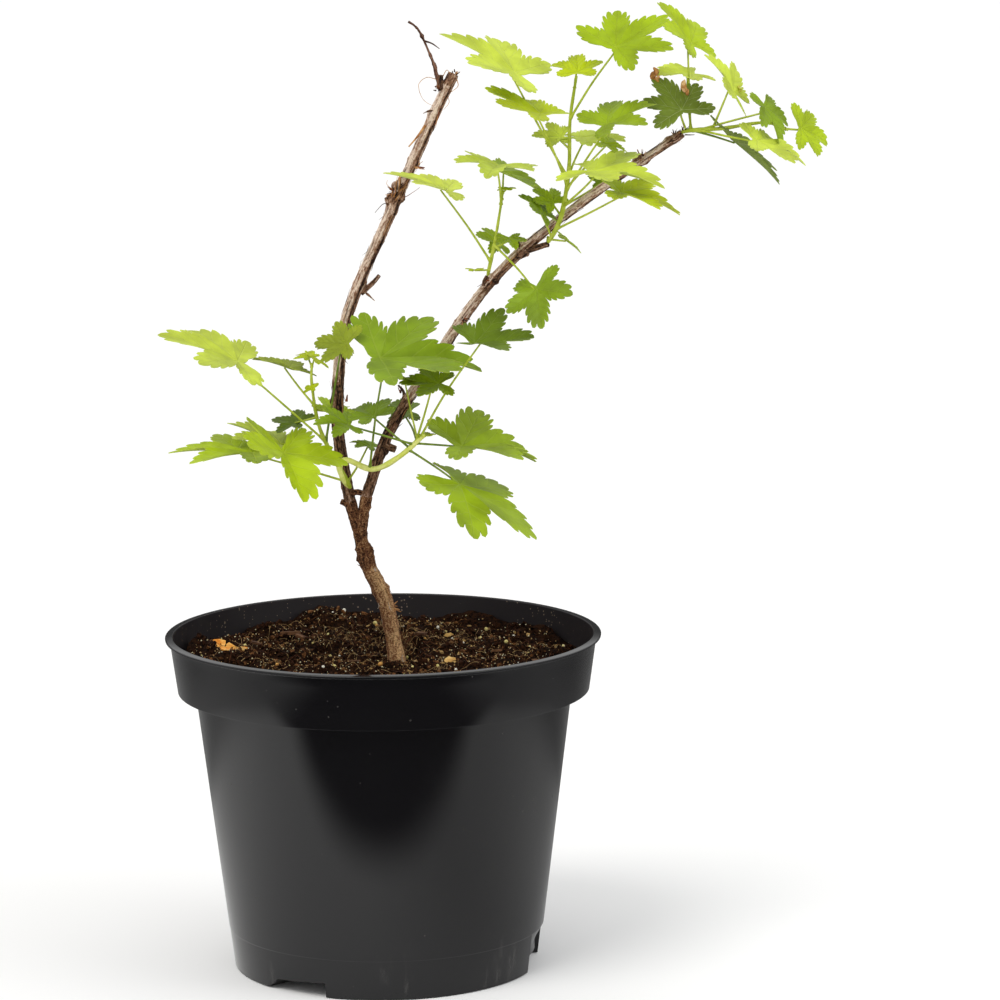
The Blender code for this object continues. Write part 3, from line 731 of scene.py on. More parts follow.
soil = {
    "top": 119.7,
    "heap": 2.6,
    "clearing": 17.0,
    "steps": 220,
    "rings": 52,
    "reach": 76.0,        # how far out the crumbs lie
    "fibreReach": (70, 74),        # where fibres start, and how far out they may end
    "trunkRoom": 4.5,        # kept clear about the trunk's middle
    "lumps": 2.3,
    "bank": (46, 26, 4.4),        # towards the back: where it starts, its width and height
    # x, y, how much a distance in y counts, height, spread
    "mounds": ((11, 37, 1, 4.2, 90), (-15, 44, 1, 2.4, 110), (-70, 14, 0.3, 3.4, 170)),
    "hollows": ((-1, 1, 3.6, 10), (12, 6, 4.0, 7)),        # x, y, depth, radius
    "crumbs": 9400,
    "crumbSize": (0.2, 1.05, 4.2),        # smallest, what the largest has more, how rare the large are
    "crumbSpread": (0.35, 1.6),        # of a crumb's three measures
    "crumbShrink": (1.0, 0.85, 0.6),        # by material
    "unshadedMix": (0.56, 0.34, 0.1),        # shares of the three materials
    # where shade is painted in, nearly all crumbs take the darkest material
    "shadedPatchMix": (0.9, 0.09, 0.01),
    "grit": 2600,
    "gritSize": (0.1, 0.36),
    "fibres": 850,
    "fibreLength": (2.0, 8.0),
    "fibreThickness": (0.045, 0.11),
    "clump": 130,        # fibres close behind the trunk
    "clumpThickness": (0.07, 0.26),
    "prills": 84,
    "prillSize": (0.35, 0.8),
}
trunkFoot = Vector((5, 5))


def soilHeight(x, y):
    # the solid's own heaps, with lumps of peat on them
    heap = math.sin(x * 0.11 + 1.0) * math.cos(y * 0.13) + 0.6 * math.sin((x + y) * 0.19)
    away = math.hypot(x - trunkFoot.x, y - trunkFoot.y) / soil["clearing"]
    height = soil["top"] + soil["heap"] * max(0.0, heap) * min(1.0, max(0.0, away - 1.0))
    lumps = noise.fractal(Vector((x * 0.16, y * 0.16, 3)), 0.9, 2.1, 5)
    height += soil["lumps"] * lumps * min(1.0, 0.35 + away)
    start, width, rise = soil["bank"]
    height += rise * max(0.0, min(1.0, (y - start) / width)) * (0.85 - 0.35 * math.sin(x * 0.06))
    for middleX, middleY, weight, rise, spread in soil["mounds"]:
        height += rise * math.exp(-((x - middleX) ** 2 + (y - middleY) ** 2 * weight) / spread)
    for middleX, middleY, depth, radius in soil["hollows"]:
        height -= depth * max(0.0, 1 - math.hypot(x - middleX, y - middleY) / radius)
    return height


def onSoil(x, y, lift=0.0):
    return Vector((x, y, soilHeight(x, y) + lift)) * mm


heaps = turnProfile(hollowProfile(gap, soil["top"]), soil["steps"])
filling = makePiece("potting_soil", heaps, [peatMaterial], slot="peat", replaced="soil")
cutWith(filling, makeRecesses(pot["wall"] + gap))
heaps = bmesh.new()
heaps.from_mesh(filling.data)
lid = [face for face in heaps.faces if face.calc_center_median().z > (soil["top"] - 0.05) * mm]
bmesh.ops.delete(heaps, geom=lid, context="FACES")
rim = [edge for edge in heaps.edges if edge.is_boundary]
rimRadius = max(vert.co.to_2d().length for edge in rim for vert in edge.verts)
for ring in range(1, soil["rings"]):
    made = bmesh.ops.extrude_edge_only(heaps, edges=rim)["geom"]
    rim = [item for item in made if isinstance(item, bmesh.types.BMEdge)]
    for vert in {vert for edge in rim for vert in edge.verts}:
        spot = vert.co.to_2d().normalized() * rimRadius * (1 - ring / soil["rings"])
        vert.co = onSoil(spot.x / mm, spot.y / mm)
bmesh.ops.contextual_create(heaps, geom=rim)
bmesh.ops.recalc_face_normals(heaps, faces=heaps.faces)
heaps.to_mesh(filling.data)
heaps.free()
filling.data.shade_smooth()

crumbRng = random.Random("crumbs")
crumbMaterials = mottledSet(
    (900, 0.9, 0.0005, 0.06), crumb_dark=((14, 8, 6), (62, 39, 27)),
    crumb_brown=((56, 35, 22), (122, 84, 54)), crumb_tan=((122, 94, 58), (190, 156, 104)),
)


def tossed(rng, x, y, lift, size, spread):
    # the matrix of one crumb on the soil, turned any way and stretched a little
    sizes = [size * rng.uniform(*spread) * mm for _ in range(3)]
    spin = spun("ZXY", *dealt(rng, (0, math.tau), (0, math.pi), (0, math.tau)))
    return Matrix.Translation(onSoil(x, y, lift)) @ spin @ Matrix.Diagonal((*sizes, 1)).to_4x4()


def soilSpot(rng, reach=soil["reach"]):
    while True:
        x, y = dealt(rng, (-reach, reach), (-reach, reach))
        clear = math.hypot(x - trunkFoot.x, y - trunkFoot.y) > soil["trunkRoom"]
        if math.hypot(x, y) < reach and clear:
            return x, y


smallest, more, rarity = soil["crumbSize"]
crumbs = []
for _ in range(soil["crumbs"]):
    x, y = soilSpot(crumbRng)
    size = smallest + more * crumbRng.random() ** rarity
    paintedShadePatch = noise.noise(Vector((x * 0.1, y * 0.1, 7))) > 0.04        # painted shade: darker crumbs in noise patches, in place of the shade in pits
    tint = crumbRng.choices((0, 1, 2), soil["shadedPatchMix"] if paintedShadePatch else soil["unshadedMix"])[0]
    size *= soil["crumbShrink"][tint]
    crumbs.append((tossed(crumbRng, x, y, size * 0.35, size, soil["crumbSpread"]), tint))
scatter("soil_crumbs", lumpShape(1, 0.36, crumbRng), crumbs, crumbMaterials)
grit = []
for _ in range(soil["grit"]):
    x, y = soilSpot(crumbRng)
    grit.append((tossed(crumbRng, x, y, 0.4, 1, soil["gritSize"]), crumbRng.choice((0, 0, 1))))
scatter("soil_grit", lumpShape(1, 0.3, crumbRng), grit, [
    mottledMaterial("grit_tan", (150, 116, 74), (206, 172, 122), 900, 0.9),
    mottledMaterial("grit_pale", (196, 184, 142), (232, 224, 192), 900, 0.8),
])

fibreRng = random.Random("fibres")
fibres = bmesh.new()
for number in range(soil["fibres"]):
    x, y = soilSpot(fibreRng, soil["fibreReach"][0])
    if number % 3 == 0:        # a tangle behind the trunk
        x, y = fibreRng.gauss(-2, 20), fibreRng.gauss(34, 13)
    heading, length = dealt(fibreRng, (0, math.tau), soil["fibreLength"])
    rise = fibreRng.choice((0.2, 0.5, 1.4))
    route = []
    for step in range(5):
        route.append(onSoil(x, y, 0.45 + rise * math.sin(math.pi * step / 4)) / mm)
        heading += fibreRng.uniform(-0.17, 0.17)
        x += math.cos(heading) * length / 4
        y += math.sin(heading) * length / 4
    if max(point.to_2d().length for point in route) > soil["fibreReach"][1]:
        continue
    thick = fibreRng.uniform(*soil["fibreThickness"])
    addTube(fibres, smoothRoute(route, 3), taper(thick, thick * 0.5), 4, tint=fibreRng.choice((0, 1, 1, 2)))
for _ in range(soil["clump"]):
    start = Vector((fibreRng.gauss(6.8, 1.3), fibreRng.gauss(12, 1.6), fibreRng.uniform(120, 127)))
    lean = Vector(dealt(fibreRng, (-3, 3), (-2, 2), (-1, 6)))
    bow = Vector(dealt(fibreRng, (-1.6, 1.6), (-1.6, 1.6), (-1, 1.5)))
    thick = fibreRng.uniform(*soil["clumpThickness"])
    route = smoothRoute((start, start + lean * 0.5 + bow, start + lean), 3)
    addTube(fibres, route, taper(thick, thick * 0.5), 5, tint=fibreRng.choice((0, 1, 2, 2)))
fibreMaterials = mottledSet(
    (400, 0.85), fibre_tan=((118, 92, 60), (186, 154, 108)), fibre_red=((70, 40, 26), (112, 68, 44)),
)
makePiece("soil_fibres", fibres, [crumbMaterials[1], *fibreMaterials], slot="peat")

# slow-release prills: those that stand out where they lie, and others dealt about
prillRng = random.Random("prills")
prillMaterials = mottledSet(
    (900, 0.45, 0.00015), prill_yellow=((190, 172, 96), (222, 208, 140)),
    prill_white=((206, 202, 186), (236, 232, 216)), prill_amber=((176, 122, 58), (208, 158, 84)),
)
prillSpots = [
    # x, y, material, radius
    (-18, 72, 1, 0.85), (-5, 60, 0, 0.9), (-19, -10, 0, 0.95), (-1, -11, 2, 1.05), (21, 4, 1, 0.75),
    (22, 70, 0, 0.8), (48, 27, 0, 0.85), (51, 43, 1, 0.75), (40, 52, 0, 0.75), (-49, 60, 0, 0.8),
    (-28, -14, 2, 0.8), (62, 22, 0, 0.8),
]
for _ in range(soil["prills"]):
    x, y = soilSpot(prillRng, 72)
    prillSpots.append((x, y, prillRng.choice((0, 0, 0, 1, 2)), prillRng.uniform(*soil["prillSize"])))
prills = [
    (tossed(prillRng, x, y, size * 0.6, size, (0.88, 1.08)), tint) for x, y, tint, size in prillSpots
]
scatter("prills", lumpShape(2, 0.04, prillRng), prills, prillMaterials)

# flat chips of bark and wood lying on the peat
chipRng = random.Random("chips")
chipMaterials = [
    *mottledSet(
        (260, 0.8, 0.0008), chip_orange=((208, 122, 34), (244, 184, 96)),
        chip_tan=((176, 132, 70), (216, 178, 112)),
    ),
    *mottledSet((260, 0.85, 0.0008), chip_brown=((70, 46, 30), (112, 78, 52))),
]
chips = bmesh.new()
chipRows = (
    # x, y, across, deep, thick, material
    (-65, 13, 4.4, 3.4, 0.5, 0), (-60, 9, 4.4, 3.2, 0.5, 0), (-57, 13, 3.4, 3.0, 0.5, 0),
    (-62, 5, 3.2, 2.0, 0.5, 0), (-56, 8, 2.4, 1.8, 0.5, 1), (25, 44, 2.2, 1.0, 0.5, 1),
    (26, -16, 2.4, 2.0, 0.5, 1), (28, -14, 1.6, 1.4, 0.5, 1), (-38, 45, 4.2, 2.6, 1.3, 2),
    (-34, 38, 2.4, 1.6, 0.9, 2), (-11, -3, 3.6, 0.6, 0.4, 2), (44, 12, 2.8, 1.4, 0.8, 2),
    (58, -6, 3.0, 1.6, 0.7, 2), (-30, 20, 3.4, 1.4, 0.7, 2), (14, 34, 3.0, 1.6, 0.9, 2),
    (-52, 30, 2.6, 1.8, 0.8, 2),
)
for x, y, across, deep, thick, tint in chipRows:
    chip = bmesh.new()
    bmesh.ops.create_circle(chip, cap_ends=True, segments=11, radius=1)
    for vert in chip.verts:
        vert.co *= chipRng.uniform(0.55, 1.2)
    made = bmesh.ops.extrude_face_region(chip, geom=chip.faces[:])["geom"]
    tops = [item for item in made if isinstance(item, bmesh.types.BMVert)]
    bmesh.ops.translate(chip, verts=tops, vec=(0, 0, 1))
    bmesh.ops.recalc_face_normals(chip, faces=chip.faces)
    tilt = spun("XYZ", *dealt(chipRng, (-0.3, 0.3), (-0.3, 0.3), (-0.6, 0.6)))
    if tint < 2:        # the dry orange leaf and the pale chips stand up a little
        tilt = Matrix.Rotation((0.4, 0.9)[tint], 4, "X") @ tilt
    sizes = Matrix.Diagonal((across * mm, deep * mm, thick * mm, 1))
    bmesh.ops.transform(chip, verts=chip.verts, matrix=Matrix.Translation(onSoil(x, y, 1.0)) @ tilt @ sizes)
    for face in chip.faces:
        face.material_index = tint
    moveInto(chips, chip)
makePiece("bark_chips", chips, chipMaterials, sharp=25, slot="peat")
print("soil made:", len(filling.data.polygons), "faces,", len(crumbs), "crumbs")


# trunk and boughs

limbStyle = {
    "ringStep": 0.8,        # millimetres between the rings of a limb
    "unevenness": 0.06,
    "stubStep": 0.35,
    "lumpiness": 0.45,        # how uneven the knots are
    "patchFade": (0.03, 12),        # share of the length and degrees over which a patch fades out
    "patchWander": 12,        # degrees that its sides stray
    "ridges": 0.09,
    # fineness about the limb, fineness along it, weight
    "octaves": ((1.7, 0.1, 1.35), (3.6, 0.42, 0.9), (8, 1.2, 0.825)),
}
# knots: share of the length, turn about the limb in degrees, height and reach in millimetres
# a turn of 90 is at the left, 180 in front, 270 at the right
# patches: first share, last share, turn, half width in degrees, tone (0 is darkest)
trunk = {
    "route": ((5, 5, 108), (5, 5, 119), (1, 4, 142), (-5, 3, 156), (-8, 3, 166), (-9, 3, 174)),
    # share of the length and radius, from the flared foot over two swellings to the neck under the fork
    "girth": ((0.0, 3.9), (0.16, 3.5), (0.27, 3.0), (0.5, 3.05), (0.58, 3.35), (0.66, 3.1), (0.73, 2.9),
              (0.82, 3.2), (0.91, 2.55), (1.0, 2.6)),
    "knots": ((0.80, 95, 0.9, 1.5), (0.84, 255, 1.0, 1.8), (0.79, 180, 0.5, 1.6), (0.60, 95, 0.6, 1.2),
              (0.59, 275, 0.6, 1.3), (0.47, 265, 0.4, 1.4), (0.93, 120, 0.3, 1.2), (0.36, 100, 0.3, 1.2),
              (0.77, 60, 0.7, 0.8), (0.815, 125, 0.6, 0.7), (0.82, 290, 0.8, 0.8), (0.795, 250, 0.6, 0.8),
              (0.86, 100, 0.5, 0.8), (0.84, 170, 0.6, 0.7), (0.805, 215, 0.7, 0.7), (0.87, 265, 0.5, 0.9)),
    "buds": 30,
    # on the trunk, the dark patch down the left side (turn 108) is painted shade and the pale strip at the
    # front right (turn 212) is a painted highlight
    "patches": ((0.0, 0.36, 180, 200, 0.68), (0.33, 0.76, 180, 200, 0.6), (0.74, 0.88, 180, 200, 0.28),
                (0.86, 1.01, 180, 200, 0.36), (0.04, 0.75, 108, 36, 0.42), (0.04, 0.74, 212, 24, 0.84),
                (0.88, 1.01, 168, 16, 0.2)),
    "tone": 0.5,
}
leftArm = {
    "route": ((-8, 3, 169), (-10.5, 3, 176), (-12.5, 3, 183)),
    "radii": (2.6, 2.35), "knots": (), "buds": 3, "patches": (), "tone": 0.3,
}
rightArm = {
    "route": ((-9, 3, 169), (-7.5, 2, 177), (-6, 2, 185)),
    "radii": (2.4, 2.2), "knots": ((0.75, 270, 0.6, 1.2),), "buds": 3, "patches": ((0.0, 1.0, 180, 40, 0.4),),
    "tone": 0.32,
}
leftBough = {
    "route": ((-12.6, 3, 183.5), (-17, 6, 214), (-13.5, 12, 252), (2, 19, 289), (18, 26, 324), (29, 30, 347)),
    "radii": (2.3, 2.1), "foot": (-12.2, 3, 181.5),
    "knots": ((0.47, 180, 0.5, 2.6), (0.5, 250, 0.8, 2.0), (0.69, 110, 2.3, 2.8), (0.725, 95, 1.9, 2.4),
              (0.67, 215, 1.5, 2.2), (0.705, 255, 1.2, 2.0), (0.23, 100, 0.7, 1.6), (0.785, 260, 1.1, 1.8),
              (0.90, 95, 0.5, 1.4), (0.97, 100, 0.8, 1.8), (0.99, 250, 0.4, 1.6)),
    "buds": 26,
    "patches": ((-0.01, 0.29, 180, 200, 0.22), (0.1, 1.0, 222, 26, 0.14), (0.27, 1.0, 100, 66, 0.9),
                (0.72, 0.98, 170, 40, 0.86), (0.665, 0.735, 180, 200, 0.24), (0.77, 0.86, 170, 30, 0.74),
                (0.3, 0.66, 160, 30, 0.84), (0.985, 1.01, 180, 200, 0.3)),
    "tone": 0.64,
}
rightBough = {
    "route": ((-5.9, 2, 185.5), (3.5, 0, 211), (22.5, -5, 241), (42.5, -10, 269), (63, -15, 289),
              (88, -19, 308), (116, -22, 327)),
    "radii": (2.2, 1.6), "foot": (-6.4, 2, 183.5),
    "knots": ((0.11, 250, 1.0, 2.0), (0.225, 95, 0.5, 1.4), (0.51, 180, 0.7, 2.0), (0.525, 90, 0.9, 1.8),
              (0.6, 180, 1.0, 2.2), (0.61, 250, 1.2, 2.2), (0.62, 90, 1.4, 2.2), (0.90, 95, 1.6, 2.2),
              (0.91, 250, 0.7, 2.0), (0.985, 170, 0.8, 2.2), (0.97, 80, 0.8, 1.8), (0.76, 180, 0.4, 2.0)),
    "buds": 28,
    "patches": ((-0.01, 0.24, 180, 200, 0.22), (0.15, 1.0, 262, 46, 0.14), (0.22, 1.0, 118, 66, 0.84),
                (0.47, 0.66, 215, 62, 0.26), (0.95, 1.01, 180, 200, 0.34), (0.88, 0.93, 110, 70, 0.34)),
    "tone": 0.64,
}
bareTwig = {
    "route": ((23.6, 28.5, 342.5), (21.9, 27.5, 349.5), (20.4, 27, 353.8), (16.6, 25.6, 362.8),
              (14.3, 24.8, 365.9), (11.8, 24.2, 367.6)),
    "girth": ((0.0, 0.85), (0.25, 0.56), (0.6, 0.42), (0.88, 0.38), (1.0, 0.48)),
    "knots": ((0.3, 250, 0.3, 0.7), (0.31, 90, 0.25, 0.6), (0.86, 180, 0.3, 0.8), (0.99, 180, 0.2, 0.5)),
    "buds": 8,
    "patches": ((0.0, 0.6, 200, 60, 0.75),),
    "tone": 0.5,
}
bareThorn = {
    "route": ((18.1, 26, 360), (20.9, 25, 359.1), (23.8, 24.2, 357.1)),
    "radii": (0.42, 0.16), "knots": (), "buds": 0, "patches": (), "tone": 0.4,
}
armStubs = (
    {"route": ((-11.6, 3, 180.5), (-14.2, 2.2, 182.2), (-16, 2, 183)), "radii": (1.6, 1.1)},
    {"route": ((-12.4, 2.4, 186), (-9.6, 2, 186.6), (-6.8, 2, 185.8)), "radii": (1.2, 1.1)},
)
leftStubs = (
    {"route": ((-7.6, 15, 263), (-3.2, 14.5, 266.7), (-0.3, 14, 270)), "radii": (1.2, 0.8), "tone": 0.4},
    {"route": ((-8, 15, 265), (-5.2, 14, 262.9), (-2.2, 12.8, 260.2)), "radii": (0.6, 0.15), "tone": 0.55},
    {"route": ((7, 22, 300), (5, 20, 300), (3, 19, 297)), "radii": (1.9, 0.7)},
    {"route": ((26.4, 29.4, 340.6), (24, 28.2, 342), (24.1, 27.4, 346.6)), "radii": (1.7, 1.1), "tone": 0.16},
    {"route": ((22, 26.4, 332.8), (19.6, 25.6, 333), (17.2, 25, 332)), "radii": (0.5, 0.12), "tone": 0.3},
)
rightStubs = (
    {"route": ((0.6, 0.6, 206), (3.2, -0.2, 204.6), (5.6, -0.8, 203.8)), "radii": (1.8, 1.4)},
    {"route": ((9, -1, 220), (9, -1, 226), (7, -2, 229)), "radii": (0.9, 0.4)},
    {"route": ((41, -10, 267), (41, -11, 270), (42, -11, 272)), "radii": (1.4, 1.1)},
    {"route": ((56, -13, 281), (54, -14, 284), (54, -14, 286)), "radii": (1.3, 0.6)},
    {"route": ((57, -13, 282), (62, -17, 284), (65, -19, 285)), "radii": (1.3, 1.1)},
)


def evenRoute(points, step=limbStyle["ringStep"]):
    # the solids' own curve, cut again into short even steps
    count = max(3, round(sum(stepLengths(smoothRoute(points, 4))) / step))
    fine = smoothRoute(points, 24)
    return [stationOn(fine, index / count) for index in range(count + 1)]


def roughTaper(first, last, rng):
    even = taper(first, last)
    waves = [dealt(rng, (5, 17), (0, math.tau)) for _ in range(3)]

    def radius(share):
        uneven = sum(math.sin(rate * share + phase) for rate, phase in waves) / len(waves)
        return even(share) * (1 + limbStyle["unevenness"] * uneven)

    return radius


def measuredGirth(points):
    # a radius that runs smoothly through the named shares
    def radius(share):
        for (before, first), (after, last) in zip(points, points[1:]):
            if share <= after:
                t = (share - before) / (after - before)
                return first + (last - first) * t * t * (3 - 2 * t)
        return points[-1][1]

    return radius


def turnBetween(first, second):
    return abs((first - second + 180) % 360 - 180)


def limbRelief(limb, length, offset):
    # lengthwise ridges and small lumps, with the knots named for the limb
    def relief(thick, share, angle, along):
        ridge = 0
        for fineness, rise, weight in limbStyle["octaves"]:
            around = (math.cos(angle) * fineness, math.sin(angle) * fineness)
            ridge += noise.noise(Vector((*around, along * rise + offset))) * weight
        grown = thick * (1 + limbStyle["ridges"] * ridge)
        for place, turnOf, height, reach in limb["knots"]:
            off = (share - place) * length / reach
            turned = math.radians(turnBetween(math.degrees(angle), turnOf)) * thick / reach
            near = off * off + turned * turned
            if near < 4:
                lumpy = 1 + limbStyle["lumpiness"] * noise.noise(Vector((angle * 2, along * 1.1, offset)))
                grown += height * lumpy * math.exp(-1.6 * near)
        return grown

    return relief


def limbTone(limb, offset):
    # how pale the bark is, from the limb's own tone and its patches; a patch that runs off the limb's end
    # doesn't fade there
    lengthwise, sideways = limbStyle["patchFade"]

    def tone(share, angle, along):
        level = limb["tone"]
        wander = limbStyle["patchWander"] * noise.noise(Vector((along * 0.09, offset, 2)))
        for first, last, turnOf, halfWidth, shade in limb["patches"]:
            ends = min((share - first) / lengthwise, (last - share) / lengthwise, 1.0)
            if share >= 1 - lengthwise and last >= 1:
                ends = 1.0
            sides = min(1.0, (halfWidth - turnBetween(math.degrees(angle) + wander, turnOf)) / sideways)
            level += (shade - level) * max(0.0, ends) * max(0.0, sides)
        return level

    return tone


def addLimb(bm, name, limb, sides):
    rng = random.Random(f"{seed} {name}")
    radius = measuredGirth(limb["girth"]) if "girth" in limb else roughTaper(*limb["radii"], rng)
    route = evenRoute(limb["route"])
    if "foot" in limb:        # runs on into the arm that carries it
        route.insert(0, Vector(limb["foot"]))
    buds = tuple(dealt(rng, (0.04, 0.97), (0, 360), (0.15, 0.5), (0.7, 1.5)) for _ in range(limb["buds"]))
    limb = {**limb, "knots": limb["knots"] + buds}
    offset = sum(map(ord, name)) * 0.37
    relief = limbRelief(limb, sum(stepLengths(route)), offset)
    addTube(bm, route, radius, sides, relief=relief, tone=limbTone(limb, offset))


def addStub(bm, stub):
    limb = {"knots": ((0.55, 180, 0.3, 0.8),), "patches": (), "tone": 0.25, **stub}
    first, last = limb["radii"]
    radius = lambda share: first + (last - first) * share ** 0.8
    route = evenRoute(limb["route"], limbStyle["stubStep"])
    addTube(bm, route, radius, 12, relief=limbRelief(limb, 4.0, first * 7), tone=limbTone(limb, 1.0))


def barkPiece(bm, node, stubs, material, slot):
    for stub in stubs:
        addStub(bm, stub)
    piece = makePiece(node + "_bark", bm, [material], sharp=60, slot=slot, replaced=node)
    print(node, "made:", len(piece.data.polygons), "faces")


limbMesh = bmesh.new()
addLimb(limbMesh, "trunk", trunk, 36)
whole = [*limbMesh.verts, *limbMesh.edges, *limbMesh.faces]
ground = (0, 0, (soil["top"] - 1.5) * mm)
bmesh.ops.bisect_plane(limbMesh, geom=whole, plane_co=ground, plane_no=(0, 0, 1), clear_inner=True)
bmesh.ops.contextual_create(limbMesh, geom=[edge for edge in limbMesh.edges if edge.is_boundary])
addLimb(limbMesh, "arm", leftArm, 28)
addLimb(limbMesh, "arm", rightArm, 28)
barkPiece(limbMesh, "trunk", armStubs, trunkBark, "dark_bark")
for node, limb, stubs in (("left_bough", leftBough, leftStubs), ("right_bough", rightBough, rightStubs)):
    limbMesh = bmesh.new()
    addLimb(limbMesh, node, limb, 28)
    barkPiece(limbMesh, node, stubs, boughBark, "bark")
limbMesh = bmesh.new()
addLimb(limbMesh, "bare_twig", bareTwig, 16)
addLimb(limbMesh, "thorn", bareThorn, 10)
barkPiece(limbMesh, "bare_twig", (), twigBark, "dark_bark")

# peeling strips and fibres that stand off the bark
shredStyle = {
    # share of the limb where a strip starts, its share of the limb, turn about the limb and width
    "strips": ((0.12, 0.94), (0.015, 0.07), (50, 310), (0.2, 0.6)),
    "stripCounts": (46, 52, 22),        # on the left bough, the right bough and the trunk
    "startLifts": (0.0, 0.0, 0.4, 1.1),        # millimetres off the bark, dealt out
    "endLifts": (0.0, 0.0, 0.4, 1.0),
    "tuftThickness": (0.14, 0.42),
    "tuftLength": (0.5, 1.1),
    "tuftBend": 0.3,
}
shreds = bmesh.new()


def barkSpot(limb, share, turnOf, lift):
    # a point on a limb's bark
    route = evenRoute(limb["route"])
    centre, across, side, _ = tubeFrames(route)[round(share * (len(route) - 1))]
    angle = math.radians(turnOf)
    thick = measuredGirth(limb["girth"])(share) if "girth" in limb else taper(*limb["radii"])(share)
    return centre + (across * math.cos(angle) + side * math.sin(angle)) * (thick + lift)


def addStrip(limb, first, last, turnOf, width, lifts, tint):
    # a ribbon of bark that lies along a limb and lifts off it towards its ends
    points = []
    for index in range(5):
        share = first + (last - first) * index / 4
        lift = (lifts[0] * (1 - index / 4) + lifts[1] * index / 4) * (abs(index - 2) / 2) ** 2
        points.append(barkSpot(limb, share, turnOf, 0.05 + lift))
    radius = lambda share: width * (0.35 + 0.65 * math.sin(math.pi * share))
    addTube(shreds, smoothRoute(points, 4), radius, 8, 0.3, tint=tint)


def addShred(points, thick, tint):
    addTube(shreds, smoothRoute(points, 4), taper(thick, thick * 0.45), 6, tint=tint)


stripRng = random.Random("strips")
for limb, count in zip((leftBough, rightBough, trunk), shredStyle["stripCounts"]):
    for _ in range(count):
        start, reach, turnOf, width = dealt(stripRng, *shredStyle["strips"])
        lifts = (stripRng.choice(shredStyle["startLifts"]), stripRng.choice(shredStyle["endLifts"]))
        tint = stripRng.choice((0, 0, 1, 2, 3))
        addStrip(limb, start, min(0.99, start + reach), turnOf, width, lifts, tint)

tufts = (
    # ragged bursts of torn bark: place, heading, how many shreds, their length, materials to choose from
    ((116.5, -22, 327.2), (0.7, -0.1, 0.5), 12, 3.4, (0, 0, 2)),
    ((100.5, -21, 318.4), (-0.4, -0.5, 0.6), 18, 2.4, (0, 2, 2, 1)),
    ((113.4, -22, 326.4), (0.4, -0.6, 0.6), 16, 2.0, (1, 3, 0, 2)),
    ((5.6, 20.6, 301.5), (-0.7, -0.5, 0.1), 12, 3.0, (0, 1, 2)),
    ((7.2, 19.6, 302.5), (0.5, -0.5, 1.6), 18, 5.2, (1, 1, 0, 3)),
    ((5.4, 19.8, 299), (0.3, -0.6, 1.3), 14, 3.6, (1, 0, 2)),
    ((14.6, 22, 311.5), (0.9, -0.4, 0.0), 8, 2.4, (2, 1, 2)),
    ((29.4, 29.4, 347), (0.3, -0.2, 1.0), 7, 1.6, (0, 1)),
    ((56, -14, 283), (0.2, -0.6, 0.6), 16, 2.2, (0, 0, 2)),
    ((23.2, 27, 341.4), (-0.2, -0.7, 0.3), 14, 1.6, (0, 0, 2, 1)),
    ((43, -11.5, 271), (-0.4, -0.6, 0.5), 6, 2.0, (0, 2)),
    ((32.6, -9.2, 255.4), (0.3, -0.8, -0.5), 10, 2.2, (0, 0, 2)),
    ((4, 2.4, 140.5), (0.8, -0.3, 0.1), 8, 2.4, (0, 1)),
)
bendy = shredStyle["tuftBend"]
for place, ahead, count, length, tints in tufts:
    for _ in range(count):
        aside = Vector(dealt(stripRng, *[(-1, 1)] * 3))
        way = (Vector(ahead) + aside * 0.75).normalized() * length
        way *= stripRng.uniform(*shredStyle["tuftLength"])
        bend = Vector(dealt(stripRng, *[(-bendy, bendy)] * 3)) * length
        start = Vector(place) + aside * 0.9
        points = (start, start + way * 0.55 + bend * 0.4, start + way + bend)
        addShred(points, stripRng.uniform(*shredStyle["tuftThickness"]), stripRng.choice(tints))
tornBark = (
    # points, thickness, material: the loop and arch at the cut top of the left bough
    (((22.6, 27.4, 345), (18.7, 27, 345.9), (15.6, 26.6, 343.3), (16.3, 26.5, 339), (18.3, 26.4, 336.3),
      (21.4, 26.4, 334.7)), 0.15, 1),
    (((25, 28, 346.2), (26.5, 28, 348.6), (28.1, 28, 347)), 0.2, 1),
    (((30.4, 28, 345), (30.8, 27.6, 342.3), (28, 27, 340)), 0.2, 1),
    # peeling strips below it
    (((18, 24.6, 327.4), (14.6, 23.4, 322.8), (11.4, 23, 319.2)), 0.6, 1),
    (((23.4, 25.6, 332.6), (22.9, 24.9, 330), (21.4, 24.4, 327.2)), 0.3, 2),
    (((22.8, 25.2, 331), (22.4, 24.5, 328.6), (21.9, 24.6, 326.4)), 0.22, 1),
    (((21.6, 24.6, 327.6), (21.2, 24.2, 325.8), (20.2, 24.2, 324.4)), 0.34, 0),
    (((26.8, 27, 338.4), (27.3, 26.4, 336), (25.2, 26, 333.4)), 0.14, 1),
    # fibres off the ragged knot
    (((4.5, 19.6, 298), (1.5, 19, 297.4), (-0.3, 19, 295.8), (-1.9, 19, 293.9)), 0.2, 0),
    (((8, 19.6, 299), (11.5, 19.8, 300.8), (15.7, 20, 303.6)), 0.18, 2),
    (((5, 19.8, 303), (2.9, 19.6, 304.9), (3.1, 20, 306.6)), 0.16, 1),
    # a dark bud with a forked tip on the right bough, and torn bark by the fork
    (((7.8, -2, 226), (8.2, -2.4, 228.6)), 0.45, 0),
    (((7.8, -2, 226), (6.9, -2.6, 228.2)), 0.35, 2),
    (((-13.4, 4.6, 222), (-13, 4, 224.6)), 0.6, 2),
)
for points, thick, tint in tornBark:
    addShred(points, thick, tint)
makePiece("bark_shreds", shreds, shredMaterials, sharp=50, slot="bark")
print("bark shreds made")


# leaves

